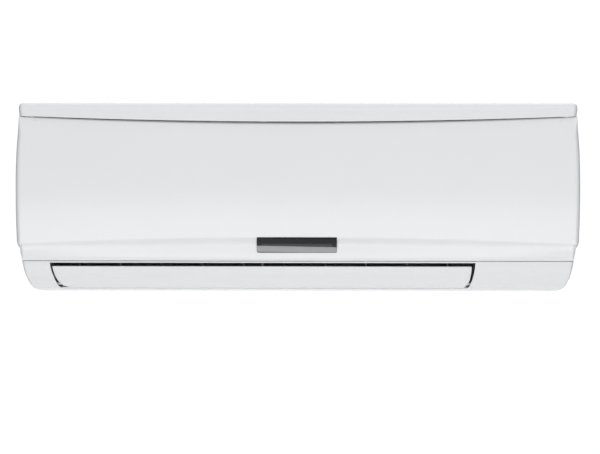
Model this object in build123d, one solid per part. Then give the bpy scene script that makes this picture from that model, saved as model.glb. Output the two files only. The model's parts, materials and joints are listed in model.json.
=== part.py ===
from build123d import *
import os
from math import sin, cos, radians, sqrt, hypot

# Wall-hung indoor unit of a split air conditioner.
# X runs along the unit, +Y into the wall, +Z up.  The front faces -Y.
# Heights are written from the underside of the unit and moved down by Z_ORIGIN
# on writing, so the origin is the centre of the wall plate's back face.

os.makedirs("parts", exist_ok=True)

# ---------------------------------------------------------------- dimensions
Z_ORIGIN = 132.5
HEIGHT = 265.0
HALF_PANEL = 395.0            # widest half width, on the front panel
WALL = 2.4                    # moulded wall of case and panel
SEAM_END, SEAM_BOW = 245.5, 8.0       # panel's top edge: height at the ends, dip in the middle
CREASE_END, CREASE_BOW = 65.2, 9.8    # crease: height at the ends, rise in the middle
PANEL_BOTTOM = 43.0
PANEL_BACK = -157.0
SEAM_GAP = 1.2
CASE_FRONT = -155.0           # front frame of the case, behind the panel
HINGE_Y, HINGE_Z = -156.0, 232.0      # front panel's hinge line
EAR_R = 15.2                          # round ears of the panel that close the hinge notches in the case
PIVOT_Y, PIVOT_Z = -118.5, 10.5       # louver flap's pivot line, just above its rear edge
STEP_Y, STEP_Z = -112.5, 16.5         # centre of the louver motor's body: its shaft is off centre
FAN_Y, FAN_Z, FAN_R = -76.0, 98.0, 44.0
ZONE_L, ZONE_R = -349.5, 251.5        # inner faces of the two walls of the air path
DUCT = radians(30.0)                  # slope of the outlet's lower wall
FLOOR_N = 59.0                        # lower wall, measured square to itself
VANE_PIVOT_D, VANE_PIN_D = 58.0, 44.0
VANE_X = [-310.0, -252.0, -194.0, -136.0, -78.0, -20.0, 38.0, 96.0, 154.0, 212.0]
COIL_L, COIL_R = -330.0, 226.0
TUBE_R = 3.5
GAS_R, LIQUID_R = 4.76, 3.175         # 3/8 and 1/4 inch copper
GAS_X, GAS_Y = -66.0, -16.0            # where each pipe ends, in the channel at the back
LIQUID_X, LIQUID_Y = -124.0, -34.5
PIPE_HOLE_X = (246.0, 312.0)
SCREW_HOLE_R = 2.6


# ------------------------------------------------------------------- helpers
def wire3(segs, lift):
    """One closed wire. A segment of two points is a line, a longer one is a smooth curve."""
    edges = []
    for seg in segs:
        p = [Vector(*lift(a, b)) for a, b in seg]
        edges.append(Edge.make_line(p[0], p[1]) if len(p) == 2 else Edge.make_spline(p))
    return Wire(edges)


def joined(*segs):
    """Segments end to end: each starts where the last one ended, and the last closes."""
    out, last = [], segs[0][0]
    for s in segs:
        pts = list(s) if tuple(s[0]) == tuple(last) else [last, *s]
        out.append(pts)
        last = pts[-1]
    if tuple(last) != tuple(out[0][0]):
        out.append([last, out[0][0]])
    return out


def ex_yz(segs, x0, x1):
    w = wire3(segs, lambda y, z: (x0, y, z))
    return Solid.extrude(Face(w), Vector(x1 - x0, 0, 0))


def ex_xz(segs, y0, y1):
    w = wire3(segs, lambda x, z: (x, y0, z))
    return Solid.extrude(Face(w), Vector(0, y1 - y0, 0))


def ex_xy(segs, z0, z1):
    w = wire3(segs, lambda x, y: (x, y, z0))
    return Solid.extrude(Face(w), Vector(0, 0, z1 - z0))


def loop(pts):
    return [[a, b] for a, b in zip(pts, pts[1:] + pts[:1])]


def plate_yz(pts, x0, x1):
    return ex_yz(loop(pts), x0, x1)


def box(x0, x1, y0, y1, z0, z1):
    return Solid.make_box(x1 - x0, y1 - y0, z1 - z0, Plane((x0, y0, z0)))


def cyl(p, d, r, length):
    return Solid.make_cylinder(r, length, Plane(origin=p, z_dir=d))


def cyl_x(x0, x1, y, z, r):
    return cyl((x0, y, z), (1, 0, 0), r, x1 - x0)


def one(shape):
    """The single solid in a result, or all of them as a compound."""
    s = shape.solids() if hasattr(shape, "solids") else shape
    s = list(s)
    return s[0] if len(s) == 1 else Compound(children=s)


def fuse(first, *rest):
    return one(first.fuse(*rest))


def cut(first, *rest):
    return one(first.cut(*rest))


def common(a, b):
    r = a.intersect(b)
    if isinstance(r, (list, tuple)) or not hasattr(r, "solids"):
        solids = [s for q in r for s in (q.solids() if hasattr(q, "solids") else [q])]
        return solids[0] if len(solids) == 1 else Compound(children=solids)
    return one(r)


def shrink(pts, by):
    """Points of an open curve moved sideways, to the left of its direction."""
    out = []
    for i, (a, b) in enumerate(pts):
        p, q = pts[max(i - 1, 0)], pts[min(i + 1, len(pts) - 1)]
        dy, dz = q[0] - p[0], q[1] - p[1]
        n = hypot(dy, dz)
        out.append((a - dz / n * by, b + dy / n * by))
    return out


def duct(d, n):
    """(Y, Z) from distance along the outlet's lower wall and square to it."""
    return (-d * cos(DUCT) - n * sin(DUCT), -d * sin(DUCT) + n * cos(DUCT))


NODES = {}


def node(name, shape):
    NODES[name] = shape


# --------------------------------------------------------------- front panel
def bow(x):
    return 1.0 - (x / HALF_PANEL) ** 2


def seam_z(x):
    return SEAM_END - SEAM_BOW * bow(x)


def crease_z(x):
    return CREASE_END + CREASE_BOW * bow(x)


def panel_front(x, z):
    """Depth of the panel's front face: bulging above the crease, recessed below it."""
    b, zc, zt = bow(x), crease_z(x), seam_z(x)
    yc, yt = 170.0 + 3.0 * b, 163.5 + 3.0 * b
    if z >= zc:
        t = (z - zc) / (zt - zc)
        return -(yc * (1 - t) + yt * t + 7.0 * 4 * t * (1 - t))
    u = (zc - z) / (zc - PANEL_BOTTOM)
    deep = 1.5 + 5.0 * b
    knots = [(0.0, yc), (0.14, yc - 0.72 * deep), (0.32, yc - deep), (0.6, yc - deep - 0.2 - 1.6 * (1 - b)),
             (0.86, 165.0 - 0.6 * (1 - b)), (1.0, 161.0)]
    for (u0, y0), (u1, y1) in zip(knots, knots[1:]):
        if u <= u1 + 1e-9:
            s = (u - u0) / (u1 - u0)
            return -(y0 + (y1 - y0) * s)
    return -161.0


def panel_section(x, inset, back):
    zc, zt, zb = crease_z(x), seam_z(x) - inset, PANEL_BOTTOM + inset
    up = [(panel_front(x, zc + (zt - zc) * k / 6) + inset, zc + (zt - zc) * k / 6) for k in range(7)]
    us = [0.0, 0.14, 0.32, 0.6, 0.86, 1.0]
    low = []
    for u in us:
        z = zc - u * (zc - PANEL_BOTTOM)
        if inset and u == 1.0:
            z = zb
        low.append((panel_front(x, z) + inset, z))
    segs = joined(list(reversed(up)), low, [low[-1], (back, zb)], [(back, zb), (back, zt)])
    return wire3(segs, lambda y, z: (x, y, z))


def mirror_outline(right):
    """Closed outline from the right half's segments, listed from the top centre down to the bottom centre."""
    left = [[(-a, b) for a, b in reversed(s)] for s in reversed(right)]
    return right + left


def panel_outline(off, top, bottom):
    side = [(391.6, 236.0), (394.0, 200.0), (395.0, 160.0), (394.9, 130.0), (394.4, 100.0), (393.4, 70.0)]
    strip = [(389.2, 63.6), (388.4, 56.0), (387.2, 48.0), (386.6, 43.0)]
    o = lambda pts: [(a - off, b) for a, b in pts]
    s, t = o(side), o(strip)
    right = [
        [(0.0, top), (s[0][0] - 3.0, top)],
        [(s[0][0] - 3.0, top), (s[0][0] - 0.4, 242.0), s[0]],
        s,
        [s[-1], (s[-1][0] - 1.4, 66.0), (t[0][0] + 1.2, 64.6), t[0]],
        t,
        [t[-1], (t[-1][0], bottom)],
        [(t[-1][0], bottom), (0.0, bottom)],
    ]
    return mirror_outline(right)


STATIONS = [-396.0, -300.0, -160.0, 0.0, 160.0, 300.0, 396.0]
skin = common(
    Solid.make_loft([panel_section(x, 0.0, PANEL_BACK) for x in STATIONS]),
    ex_xz(panel_outline(0.0, 260.0, 40.0), -190, -140),
)
hollow = common(
    Solid.make_loft([panel_section(x, WALL, PANEL_BACK + 12) for x in STATIONS]),
    ex_xz(panel_outline(WALL, 260.0, 40.0), -190, -140),
)
shell = cut(skin, hollow)
WINDOW = (-57.0, 55.0, 53.8, 74.8)
x0, x1, z0, z1 = WINDOW
lens = common(shell, box(x0, x1, -175, -159.5, z0, z1))
shell = cut(shell, box(x0 - 0.1, x1 + 0.1, -180, -159.0, z0 - 0.1, z1 + 0.1))
parts = []
for s in (-1, 1):
    a, b_ = sorted((s * 366.0, s * 369.0))
    parts += [
        plate_yz([(-165.0, 224.0), (-165.0, 239.0), (-156.0, 236.4), (-156.0, 227.6)], a, b_),
        cyl_x(a, b_, HINGE_Y, HINGE_Z, 4.4),
        cyl_x(*sorted((s * 368.5, s * 377.0)), HINGE_Y, HINGE_Z, 2.0),
        cut(cyl_x(*sorted((s * 388.9, s * 391.2)), HINGE_Y, HINGE_Z, EAR_R), box(-400, 400, -180, -162.5, 200, 260)),
    ]
node("front_panel", fuse(shell, *parts))
node("display_window", lens)

# ---------------------------------------------------------------- front case
LOWER = [(-158.0, 42.2), (-155.5, 36.0), (-148.0, 26.0), (-136.0, 15.5), (-124.0, 7.0), (-112.0, 2.0), (-98.0, 0.0)]
CAP = [(-172.0, 246.0), (-171.4, 250.5), (-168.8, 256.6), (-162.5, 261.8), (-153.0, 264.5), (-142.0, 265.0)]
BACK = [(-14.0, 265.0), (-6.0, 263.2), (-1.5, 258.0)]

low_edge = Edge.make_spline([Vector(0, y, z) for y, z in LOWER])
profile = joined(
    [(-1.5, 0.0), (-98.0, 0.0)], list(reversed(LOWER)), [(-158.0, 42.2), (-155.0, 42.2)], [(-155.0, 42.2), (-155.0, 238.0)],
    [(-155.0, 238.0), (-172.0, 238.0)], [(-172.0, 238.0), (-172.0, 246.0)], CAP, [(-142.0, 265.0), (-14.0, 265.0)], BACK,
)
low_in = shrink(LOWER, WALL)
low_in[0] = (-155.4, 39.8)
low_in[-1] = (-98.0, 2.4)
cap_in = shrink(CAP, -WALL)
cap_in[0] = (-169.6, 246.0)
cap_in[-1] = (-142.0, 262.6)
cavity = joined(
    [(6.0, 2.4), (-98.0, 2.4)], list(reversed(low_in)), [low_in[0], (-152.5, 39.8)], [(-152.5, 39.8), (-152.5, 226.0)],
    [(-152.5, 226.0), (-169.6, 226.0)], [(-169.6, 226.0), (-169.6, 246.0)], cap_in, [(-142.0, 262.6), (6.0, 262.6)],
)


def case_outline(off, top, bottom):
    a = [(391.0, 260.5), (391.2, 254.0), (390.0, 246.5)]
    b = [(388.6, 236.0), (388.8, 60.0)]
    c = [(388.8, 60.0), (386.8, 43.0), (384.9, 31.0), (382.2, 20.5), (378.6, 11.5), (374.4, 5.0), (368.6, 1.3), (361.0, 0.0)]
    o = lambda pts: [(p - off, q) for p, q in pts]
    a, b, c = o(a), o(b), o(c)
    if bottom is not None:
        c = [(p, q + off) for p, q in c[:-1]] + [(c[-1][0], bottom)]
        c[0] = (c[0][0], 60.0)
    low = 0.0 if bottom is None else bottom
    return mirror_outline([
        [(0.0, top), (386.0 - off, top)],
        [(386.0 - off, top), (389.6 - off, top - 1.4), a[0]],
        a,
        [a[-1], b[0]],
        b,
        c,
        [c[-1], (0.0, low)],
    ])


def case_plan(off):
    f, m = -166.4 + off, -170.9 + off
    side = 391.4 - off
    right = [
        [(0.0, 8.0), (side, 8.0)],
        [(side, 8.0), (side, -158.0)],
        [(side, -158.0), (side - 1.6, -163.6), (side - 7.0, f)],
    ]
    front = [[(side - 7.0, f), ((side - 7.0) * 0.66, f + (m - f) * 0.564), (0.0, m), (-(side - 7.0) * 0.66, f + (m - f) * 0.564), (-(side - 7.0), f)]]
    left = [[(-a, b) for a, b in reversed(s)] for s in reversed(right)]
    return right + front + left


body = common(common(ex_yz(profile, -400, 400), ex_xz(case_outline(0.0, 265.0, None), -190, 10)), ex_xy(case_plan(0.0), -5, 270))
inner = common(common(ex_yz(cavity, -400, 400), ex_xz(case_outline(WALL, 262.6, 2.4), -190, 10)), ex_xy(case_plan(WALL), -5, 270))
case = cut(body, inner)
# the cap's lower edge follows the panel's bowed top edge
seam_pts = [(x, seam_z(x) + SEAM_GAP) for x in (400.0, 300.0, 200.0, 100.0, 0.0, -100.0, -200.0, -300.0, -400.0)]
under_seam = ex_xz(joined([(-400.0, 228.0), (400.0, 228.0)], [(400.0, 228.0), seam_pts[0]], seam_pts), -190, -155.0)
opening = joined(
    [(-348.0, 39.8), (-345.6, 27.0), (-341.4, 14.0), (-337.2, 6.4), (-329.0, 1.8), (-319.0, -1.0)],
    [(-319.0, -1.0), (230.0, -1.0)],
    [(230.0, -1.0), (239.3, 4.2), (244.2, 12.8), (247.6, 26.0), (249.3, 39.8)],
)
cuts = [
    under_seam,
    ex_xz(opening, -190, -113.5),
    box(-345, -54, -160, -150, 66, 216), box(-44, 247, -160, -150, 66, 216),   # filter windows
    box(280, 362, -160, -150, 70, 108),                                        # terminal window
    box(-372, 372, -138, -22, 261, 267),                                       # top inlet
    box(-400, 400, -48, 10, -1, 14),                                           # pipe channel, open at both lower rear corners
    cyl_x(376, 395, HINGE_Y, HINGE_Z, EAR_R + 0.7), cyl_x(-395, -376, HINGE_Y, HINGE_Z, EAR_R + 0.7),
]
case = cut(case, *cuts)
adds = []
for s in (-1, 1):                       # hinge eyes for the front panel
    a, b_ = sorted((s * 370.2, s * 374.2))
    adds += [plate_yz([(-153.0, 217.0), (-160.6, 231.0), (-156.0, 228.0), (-152.6, 225.9)], a, b_), cyl_x(a, b_, HINGE_Y, HINGE_Z, 4.8)]
SCREW_X = (-280.0, -49.0, 182.0)
for x in SCREW_X:
    adds.append(cyl((x, -88, 0.0), (0, 0, 1), 6.0, 6.0))
case = fuse(case, *adds)
drill = [cyl_x(-380, -365, HINGE_Y, HINGE_Z, 2.05), cyl_x(365, 380, HINGE_Y, HINGE_Z, 2.05)]
for x in SCREW_X:
    drill += [cyl((x, -88, -1.0), (0, 0, 1), 4.0, 4.5), cyl((x, -88, 0.0), (0, 0, 1), 1.7, 8.0)]
drill.append(cyl((372.0, -158, 90.0), (0, 1, 0), 1.5, 8.0))
node("front_case", cut(case, *drill))

screws = [fuse(cyl((x, -88, 1.2), (0, 0, 1), 3.4, 2.3), cyl((x, -88, 3.5), (0, 0, 1), 1.5, 9.0)) for x in SCREW_X]
node("case_screws", Compound(children=screws))
node("screw_caps", Compound(children=[cyl((x, -88, 0.1), (0, 0, 1), 3.95, 0.9) for x in SCREW_X]))

# inlet grille in the top
grille = box(-371.6, 371.6, -137.6, -22.4, 262.3, 264.8)
slots = [box(x, x + 9.0, -133.0, -82.5, 262, 265.5) for x in [-366.5 + 12.0 * k for k in range(61)]]
slots += [box(x, x + 9.0, -77.5, -27.0, 262, 265.5) for x in [-366.5 + 12.0 * k for k in range(61)]]
node("inlet_grille", cut(grille, *slots))

# -------------------------------------------------------------- rear chassis
def scroll_r(phi):
    return 48.0 + 22.0 * ((60.0 - phi) / 150.0) ** 1.5


def polar(phi, r):
    return (FAN_Y + r * cos(radians(phi)), FAN_Z + r * sin(radians(phi)))


angles = [60, 45, 30, 15, 0, -15, -30, -45, -60, -72, -82]
s_in = [polar(a, scroll_r(a)) for a in angles]
lip_in, lip_out = duct(90.6, FLOOR_N), duct(90.6, FLOOR_N - 2.5)
knee_in, knee_out = duct(41.0, FLOOR_N), duct(42.0, FLOOR_N - 2.5)
s_in[-1] = knee_in
s_out = [polar(a, scroll_r(a) + 2.5) for a in angles]
s_out[-1] = knee_out
scroll = ex_yz(joined(s_in, [s_in[-1], lip_in], [lip_in, lip_out], [lip_out, s_out[-1]], list(reversed(s_out))), -352.0, 254.0)
side = [(-4.5, 44.0), (-4.5, 240.0), (-100.0, 247.0), (-134.0, 231.0), (-149.6, 205.0), (-149.6, 44.0),
        (-147.6, 32.5), (-136.0, 20.0), (-124.0, 11.2), (-112.0, 6.2), (-100.0, 6.0), (-88.0, 13.0), (-66.0, 27.0), (-44.0, 40.5)]
chassis = fuse(
    box(-380, 380, -6.5, -4.0, 44, 256),
    scroll,
    plate_yz(side, -352.0, ZONE_L),
    plate_yz(side, ZONE_R, 254.0),
    box(-352, 352, -42.6, -4.0, 41.5, 44.0),
    plate_yz([(-52.6, 138.8), (-50.5, 151.0), (-48.5, 151.0), (-47.6, 146.0), (-5.0, 144.0), (-5.0, 141.5), (-49.0, 143.4), (-50.4, 139.6)], -352.0, 254.0),
    cyl_x(-350.5, -341.8, PIVOT_Y, PIVOT_Z, 2.95),
    plate_yz([(-121.4, 10.8), (-120.4, 24.0), (-114.0, 24.0), (-115.6, 10.8)], -350.5, -343.2),
    cyl_x(-357.5, -349.5, FAN_Y, FAN_Z, 17.5),
    plate_yz([(-4.5, 60.0), (-4.5, 98.0), (-120.0, 98.0), (-120.0, 84.0), (-60.0, 60.0)], 266.5, 273.5),
    plate_yz([(-4.5, 60.0), (-4.5, 98.0), (-120.0, 98.0), (-120.0, 84.0), (-60.0, 60.0)], 328.5, 335.5),
    *[cyl((x, -88, 6.0), (0, 0, 1), 4.0, 8.6) for x in SCREW_X],
)
holes = [
    cyl_x(-348.6, -325.0, PIVOT_Y, PIVOT_Z, 1.85),
    cyl_x(-360.0, -345.0, FAN_Y, FAN_Z, 15.0),
    cyl_x(250.0, 256.0, FAN_Y, FAN_Z, 12.0),
    cyl_x(250.0, 256.0, PIVOT_Y, PIVOT_Z, 2.9),
    cyl_x(266.0, 336.0, FAN_Y, FAN_Z, 18.0),
    box(PIPE_HOLE_X[0] + 9.0, PIPE_HOLE_X[1], -40.5, -6.5, 40, 46),
    box(-307, -273, -8, -3, 214, 229.4), box(273, 307, -8, -3, 214, 229.4),
    *[cyl((x, -88, 5.0), (0, 0, 1), 1.5, 8.0) for x in SCREW_X],
]
for x in VANE_X:                         # a pivot hole for each vane
    y, z = duct(VANE_PIVOT_D, FLOOR_N - 4)
    holes.append(cyl((x, y, z), (0, -sin(DUCT), cos(DUCT)), 1.55, 6.0))

# ---------------------------------------------------------------- drain tray
trough = [(-152.0, 64.0), (-152.0, 45.0), (-116.0, 70.0), (-114.8, 72.0), (-116.4, 74.6), (-119.6, 74.6), (-119.6, 71.0), (-150.0, 49.9), (-150.0, 64.0)]
tray = fuse(plate_yz(trough, -349.3, 251.3))


tray = fuse(
    tray,
    cut(box(-379, -352.2, -152, -20, 44.0, 62.0), box(-377, -354.2, -150, -22, 46.0, 63.0)),
    cut(box(254.2, 379, -152, -120.5, 44.0, 62.0), box(256.2, 377, -150, -122.5, 46.0, 63.0)),
    cut(box(350.5, 379, -121.0, -20, 44.0, 62.0), box(352.5, 377, -123.0, -22, 46.0, 63.0)),
    box(-353.0, -349.0, -152.0, -150.0, 46.0, 62.0), box(251.0, 255.0, -152.0, -150.0, 46.0, 62.0),
    cyl((-361.0, -32, 16.0), (0, 0, 1), 8.0, 28.5), cyl((361.0, -32, 16.0), (0, 0, 1), 8.0, 28.5),
    plate_yz([duct(86.0, 79.8), duct(94.4, 79.8), duct(94.4, 117.5), duct(86.0, 118.5)], -51.0, -48.0),
    plate_yz([(-122.4, 21.0), (-114.6, 26.6), (-115.65, 10.4), (-121.35, 10.4)], -51.0, -48.0),
    cyl_x(-51.0, -48.0, PIVOT_Y, PIVOT_Z, 2.9),
)
tray = cut(
    tray,
    cyl((-361.0, -32, 14.0), (0, 0, 1), 6.0, 34.0), cyl((361.0, -32, 14.0), (0, 0, 1), 6.0, 34.0),
    cyl_x(-52.0, -47.0, PIVOT_Y, PIVOT_Z, 1.55),
)
node("drain_tray", tray)
node("drain_plug", fuse(cyl((-361.0, -32, 13.0), (0, 0, 1), 8.6, 3.0), cyl((-361.0, -32, 15.5), (0, 0, 1), 5.98, 12.0)))

# ---------------------------------------------------------------- wall plate
plate = box(-355, 355, -1.2, 0.0, 32.5, 232.5)
adds, cuts = [], []
for s in (-1, 1):
    a, b_ = sorted((s * 238.0, s * 262.0))
    adds.append(box(a, b_, -9.0, -1.0, 39.6, 40.8))
    a, b_ = sorted((s * 278.0, s * 302.0))
    adds += [box(a, b_, -9.6, -1.0, 228.0, 229.2), box(a, b_, -9.6, -8.4, 228.0, 238.0)]
    for cx, cz, hw, hh in ((185, 185, 34, 22), (185, 82, 34, 22), (95, 185, 34, 22), (95, 82, 34, 22), (260, 132.5, 30, 16), (330, 132.5, 12, 40)):
        cuts.append(box(s * cx - hw, s * cx + hw, -2, 1, cz - hh, cz + hh))
    for dz in (-80.0, 80.0):
        cuts.append(cyl((s * 300.0, -2, 132.5 + dz), (0, 1, 0), SCREW_HOLE_R, 4.0))
plate = cut(fuse(plate, *adds), *cuts)
node("wall_plate", plate)

# ----------------------------------------------------------------- evaporator
SLABS = [  # centre line of each fin pack, lower end first, with its tube stations
    ((-138.0, 68.0), (-138.0, 134.0), 3),
    ((-136.0, 141.0), (-94.0, 218.0), 4),
    ((-36.0, 160.0), (-74.0, 216.0), 3),
]
HALF_T = 11.0
ROW = 6.0
packs, stations = [], []
for (p, q, n) in SLABS:
    L = hypot(q[0] - p[0], q[1] - p[1])
    u = ((q[0] - p[0]) / L, (q[1] - p[1]) / L)
    v = (-u[1], u[0])
    c = lambda a, b, p=p, u=u, v=v: (p[0] + u[0] * a + v[0] * b, p[1] + u[1] * a + v[1] * b)
    packs.append(plate_yz([c(0, -HALF_T), c(L, -HALF_T), c(L, HALF_T), c(0, HALF_T)], COIL_L, COIL_R))
    stations.append([(c(L * (k + 0.5) / n, -ROW), c(L * (k + 0.5) / n, ROW)) for k in range(n)])
flat = [st for s in stations for st in s]
bores = [cyl_x(COIL_L - 3, COIL_R + 3, y, z, TUBE_R) for st in flat for (y, z) in st]
fins = [cut(pk, *bores) for pk in packs]
node("evaporator_fins", Compound(children=fins))
ends = []
for xa, xb in ((COIL_L - 1.2, COIL_L - 0.2), (COIL_R + 0.2, COIL_R + 1.2)):
    for (p, q, n) in SLABS:
        L = hypot(q[0] - p[0], q[1] - p[1])
        u = ((q[0] - p[0]) / L, (q[1] - p[1]) / L)
        v = (-u[1], u[0])
        c = lambda a, b, p=p, u=u, v=v: (p[0] + u[0] * a + v[0] * b, p[1] + u[1] * a + v[1] * b)
        ends.append(cut(plate_yz([c(-0.5, -HALF_T - 0.8), c(L + 0.5, -HALF_T - 0.8), c(L + 0.5, HALF_T + 0.8), c(-0.5, HALF_T + 0.8)], xa, xb),
                        *[cyl_x(xa - 1, xb + 1, y, z, TUBE_R) for st in flat for (y, z) in st]))
node("coil_end_plates", Compound(children=ends))


def u_bend(x, a, b, way):
    """Half a ring joining tubes at (Y, Z) a and b, opening from x towards way."""
    ya, za = a
    yb, zb = b
    r = hypot(yb - ya, zb - za) / 2
    m = Vector(x, (ya + yb) / 2, (za + zb) / 2)
    axis = Vector(0, zb - za, -(yb - ya)).normalized()
    ring = Solid.make_torus(r, TUBE_R, Plane(origin=m, z_dir=axis))
    lim = 60.0
    half = box(x, x + lim, -200, 10, 0, 300) if way > 0 else box(x - lim, x, -200, 10, 0, 300)
    return common(ring, half)


hairpins = []
for a, b_ in flat:
    hairpins.append(fuse(cyl_x(COIL_L - 1.5, COIL_R + 3.0, a[0], a[1], TUBE_R), cyl_x(COIL_L - 1.5, COIL_R + 3.0, b_[0], b_[1], TUBE_R), u_bend(COIL_L - 1.5, a, b_, -1)))
node("evaporator_tubes", Compound(children=hairpins))
A, B, C = stations
pairs = [(A[0][0], A[1][0]), (A[1][1], A[2][1]), (B[0][1], B[1][1]), (B[1][0], B[2][0]), (B[2][1], B[3][1]), (C[0][0], C[1][0]), (C[1][1], C[2][1])]
node("return_bends", Compound(children=[u_bend(COIL_R + 3.0, a, b_, 1) for a, b_ in pairs]))


def pipe(pts, radii, r):
    path = FilletPolyline(*pts, radius=radii)
    w = path if isinstance(path, Wire) else Wire(path.edges())
    d = Vector(*pts[1]) - Vector(*pts[0])
    ring = Face(Wire.make_circle(r, Plane(origin=pts[0], z_dir=d)))
    return Solid.sweep(ring, w)


gy, gz = C[0][1]
ly, lz = A[0][1]
gas = pipe([(COIL_R + 3.0, gy, gz), (300.0, gy, gz), (300.0, GAS_Y, gz - 24.0), (300.0, GAS_Y, 24.0), (GAS_X, GAS_Y, 24.0)], [13.0, 10.0, 14.0], GAS_R)
liquid = pipe([(COIL_R + 3.0, ly, lz), (258.2, ly, lz), (258.2, LIQUID_Y, lz), (258.2, LIQUID_Y, 24.0), (LIQUID_X, LIQUID_Y, 24.0)], [7.0, 12.0, 12.0], LIQUID_R)
node("gas_pipe", gas)
node("liquid_pipe", liquid)
holes += [cyl_x(250.0, 256.0, gy, gz, 6.0), cyl_x(250.0, 256.0, ly, lz, 4.6)]
node("rear_chassis", cut(chassis, *holes))


def flare_nut(x_end, y, z, flats, length, bore, pipe_r):
    """Hexagon nut on the end of a pipe, with its threaded mouth facing -X."""
    r = flats / sqrt(3.0)
    pts = [(y + r * cos(radians(60 * k + 30)), z + r * sin(radians(60 * k + 30))) for k in range(6)]
    nut = plate_yz(pts, x_end - length + 6.0, x_end + 6.0)
    return cut(nut, cyl_x(x_end - length + 5.0, x_end - length + 6.0 + 12.0, y, z, bore), cyl_x(x_end - length, x_end + 8.0, y, z, pipe_r + 0.05))


node("gas_flare_nut", flare_nut(GAS_X, GAS_Y, 24.0, 22.0, 20.0, 7.5, GAS_R))
node("liquid_flare_nut", flare_nut(LIQUID_X, LIQUID_Y, 24.0, 17.0, 18.0, 5.6, LIQUID_R))
node("pipe_clamp", fuse(box(196, 216, -41, -8.0, 16.0, 18.8), box(196, 216, -41, -39, 16.0, 41.5), box(196, 216, -10, -8, 16.0, 41.5)))
node("pipe_sensor", cyl((300.0, GAS_Y - 8.0, 105.0), (0, 0, 1), 3.0, 26.0))

# ------------------------------------------------------------- fan and motor
FAN_L, FAN_END = -343.0, 240.0
blade_pts = []
for r, off in ((33.0, 0.0), (36.0, 3.4), (40.0, 5.6), (43.6, 5.8)):
    blade_pts.append((r, off))
rings = [FAN_L + (FAN_END - FAN_L - 2.4) * k / 8 for k in range(9)]
blades = []
for k in range(26):
    a0 = 360.0 / 26 * k
    pa = [(r, a0 + off) for r, off in blade_pts]
    outer = [polar(a, r) for r, a in pa]
    back = [polar(a + degrees_for, r) for (r, a), degrees_for in zip(reversed(pa), (1.1, 2.2, 2.4, 1.6))]
    blades.append(plate_yz(outer + back, FAN_L, FAN_END))
discs = []
for i, x in enumerate(rings):
    d = cyl_x(x, x + 2.4, FAN_Y, FAN_Z, FAN_R)
    if 0 < i < 8:
        d = cut(d, cyl_x(x - 1, x + 4, FAN_Y, FAN_Z, 31.5))
    discs.append(d)
wheel = fuse(discs[0], *discs[1:], *blades, cyl_x(FAN_L, FAN_L + 14, FAN_Y, FAN_Z, 9.0), cyl_x(FAN_END - 18.0, FAN_END + 8.0, FAN_Y, FAN_Z, 9.0))
wheel = cut(wheel, cyl_x(FAN_L - 1, FAN_L + 12, FAN_Y, FAN_Z, 4.0), cyl_x(FAN_END - 16.0, FAN_END + 9.0, FAN_Y, FAN_Z, 4.0),
            cyl((FAN_END + 4.0, FAN_Y, FAN_Z), (0, 0, 1), 2.0, 10.0))
node("fan_wheel", wheel)
node("fan_set_screw", cyl((FAN_END + 4.0, FAN_Y, FAN_Z + 4.0), (0, 0, 1), 2.0, 4.6))
node("fan_stub_shaft", cyl_x(-358.5, FAN_L + 12, FAN_Y, FAN_Z, 4.0))
node("bearing_bush", cut(cyl_x(-356.5, -347.5, FAN_Y, FAN_Z, 9.0), cyl_x(-357.0, -347.0, FAN_Y, FAN_Z, 4.05)))
node("bearing_rubber", cut(cyl_x(-357.0, -348.5, FAN_Y, FAN_Z, 15.0), cyl_x(-358.0, -347.0, FAN_Y, FAN_Z, 9.0)))
node("motor_shaft", cyl_x(FAN_END - 16.0, 302.0, FAN_Y, FAN_Z, 4.0))
motor = fuse(cyl_x(276, 326, FAN_Y, FAN_Z, 38.0), cyl_x(264.5, 276, FAN_Y, FAN_Z, 14.0), cyl_x(326, 337.5, FAN_Y, FAN_Z, 14.0))
node("fan_motor", cut(motor, cyl_x(264, 303.0, FAN_Y, FAN_Z, 4.05)))
ring = lambda a, b: cut(cyl_x(a, b, FAN_Y, FAN_Z, 18.0), cyl_x(a - 1, b + 1, FAN_Y, FAN_Z, 14.0))
node("motor_rubber_rings", Compound(children=[ring(266.0, 274.0), ring(328.0, 336.0)]))
upper = box(260, 340, -130, -20, 98, 150)
clamp = common(cyl_x(266.5, 335.5, FAN_Y, FAN_Z, 42.0), upper)
clamp = cut(clamp, cyl_x(273.5, 328.5, FAN_Y, FAN_Z, 39.8), cyl_x(260, 340, FAN_Y, FAN_Z, 18.0))
node("motor_clamp", clamp)

# ---------------------------------------------------------------- electrics
shellbox = cut(box(262, 378, -150, -121, 64, 222), box(264, 376, -151, -123, 66, 220))
node("control_box", shellbox)
node("control_box_cover", cut(box(262, 378, -152.0, -150.1, 112, 222), *[box(280 + 12 * k, 286 + 12 * k, -153, -149, 196, 214) for k in range(7)]))
node("main_board", box(268, 372, -129.0, -127.4, 116, 216))
comp = [cyl((290, -129.1, 196), (0, -1, 0), 9.0, 17.0), cyl((312, -129.1, 200), (0, -1, 0), 5.0, 14.0), box(326, 364, -146, -129.1, 180, 210),
        box(278, 298, -141, -129.1, 150, 176), box(304, 318, -138, -129.1, 152, 178), box(328, 362, -136, -129.1, 158, 168), box(276, 310, -135, -129.1, 124, 132), box(324, 362, -135, -129.1, 124, 132)]
node("board_components", Compound(children=comp))
block = box(288, 354, -137, -123.0, 76, 100)
tb_cuts = [box(290 + 16 * k, 302 + 16 * k, -138, -131, 74, 84) for k in range(4)] + [box(290 + 16 * k, 302 + 16 * k, -138, -131, 92, 102) for k in range(4)]
block = cut(block, *tb_cuts)
ts = []
for k in range(4):
    for z in (80.0, 96.0):
        ts.append(cyl((296 + 16 * k, -135.0, z), (0, 1, 0), 2.8, 2.0).fuse(cyl((296 + 16 * k, -133.2, z), (0, 1, 0), 1.6, 8.0)))
ts = [one(t) for t in ts]
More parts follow.
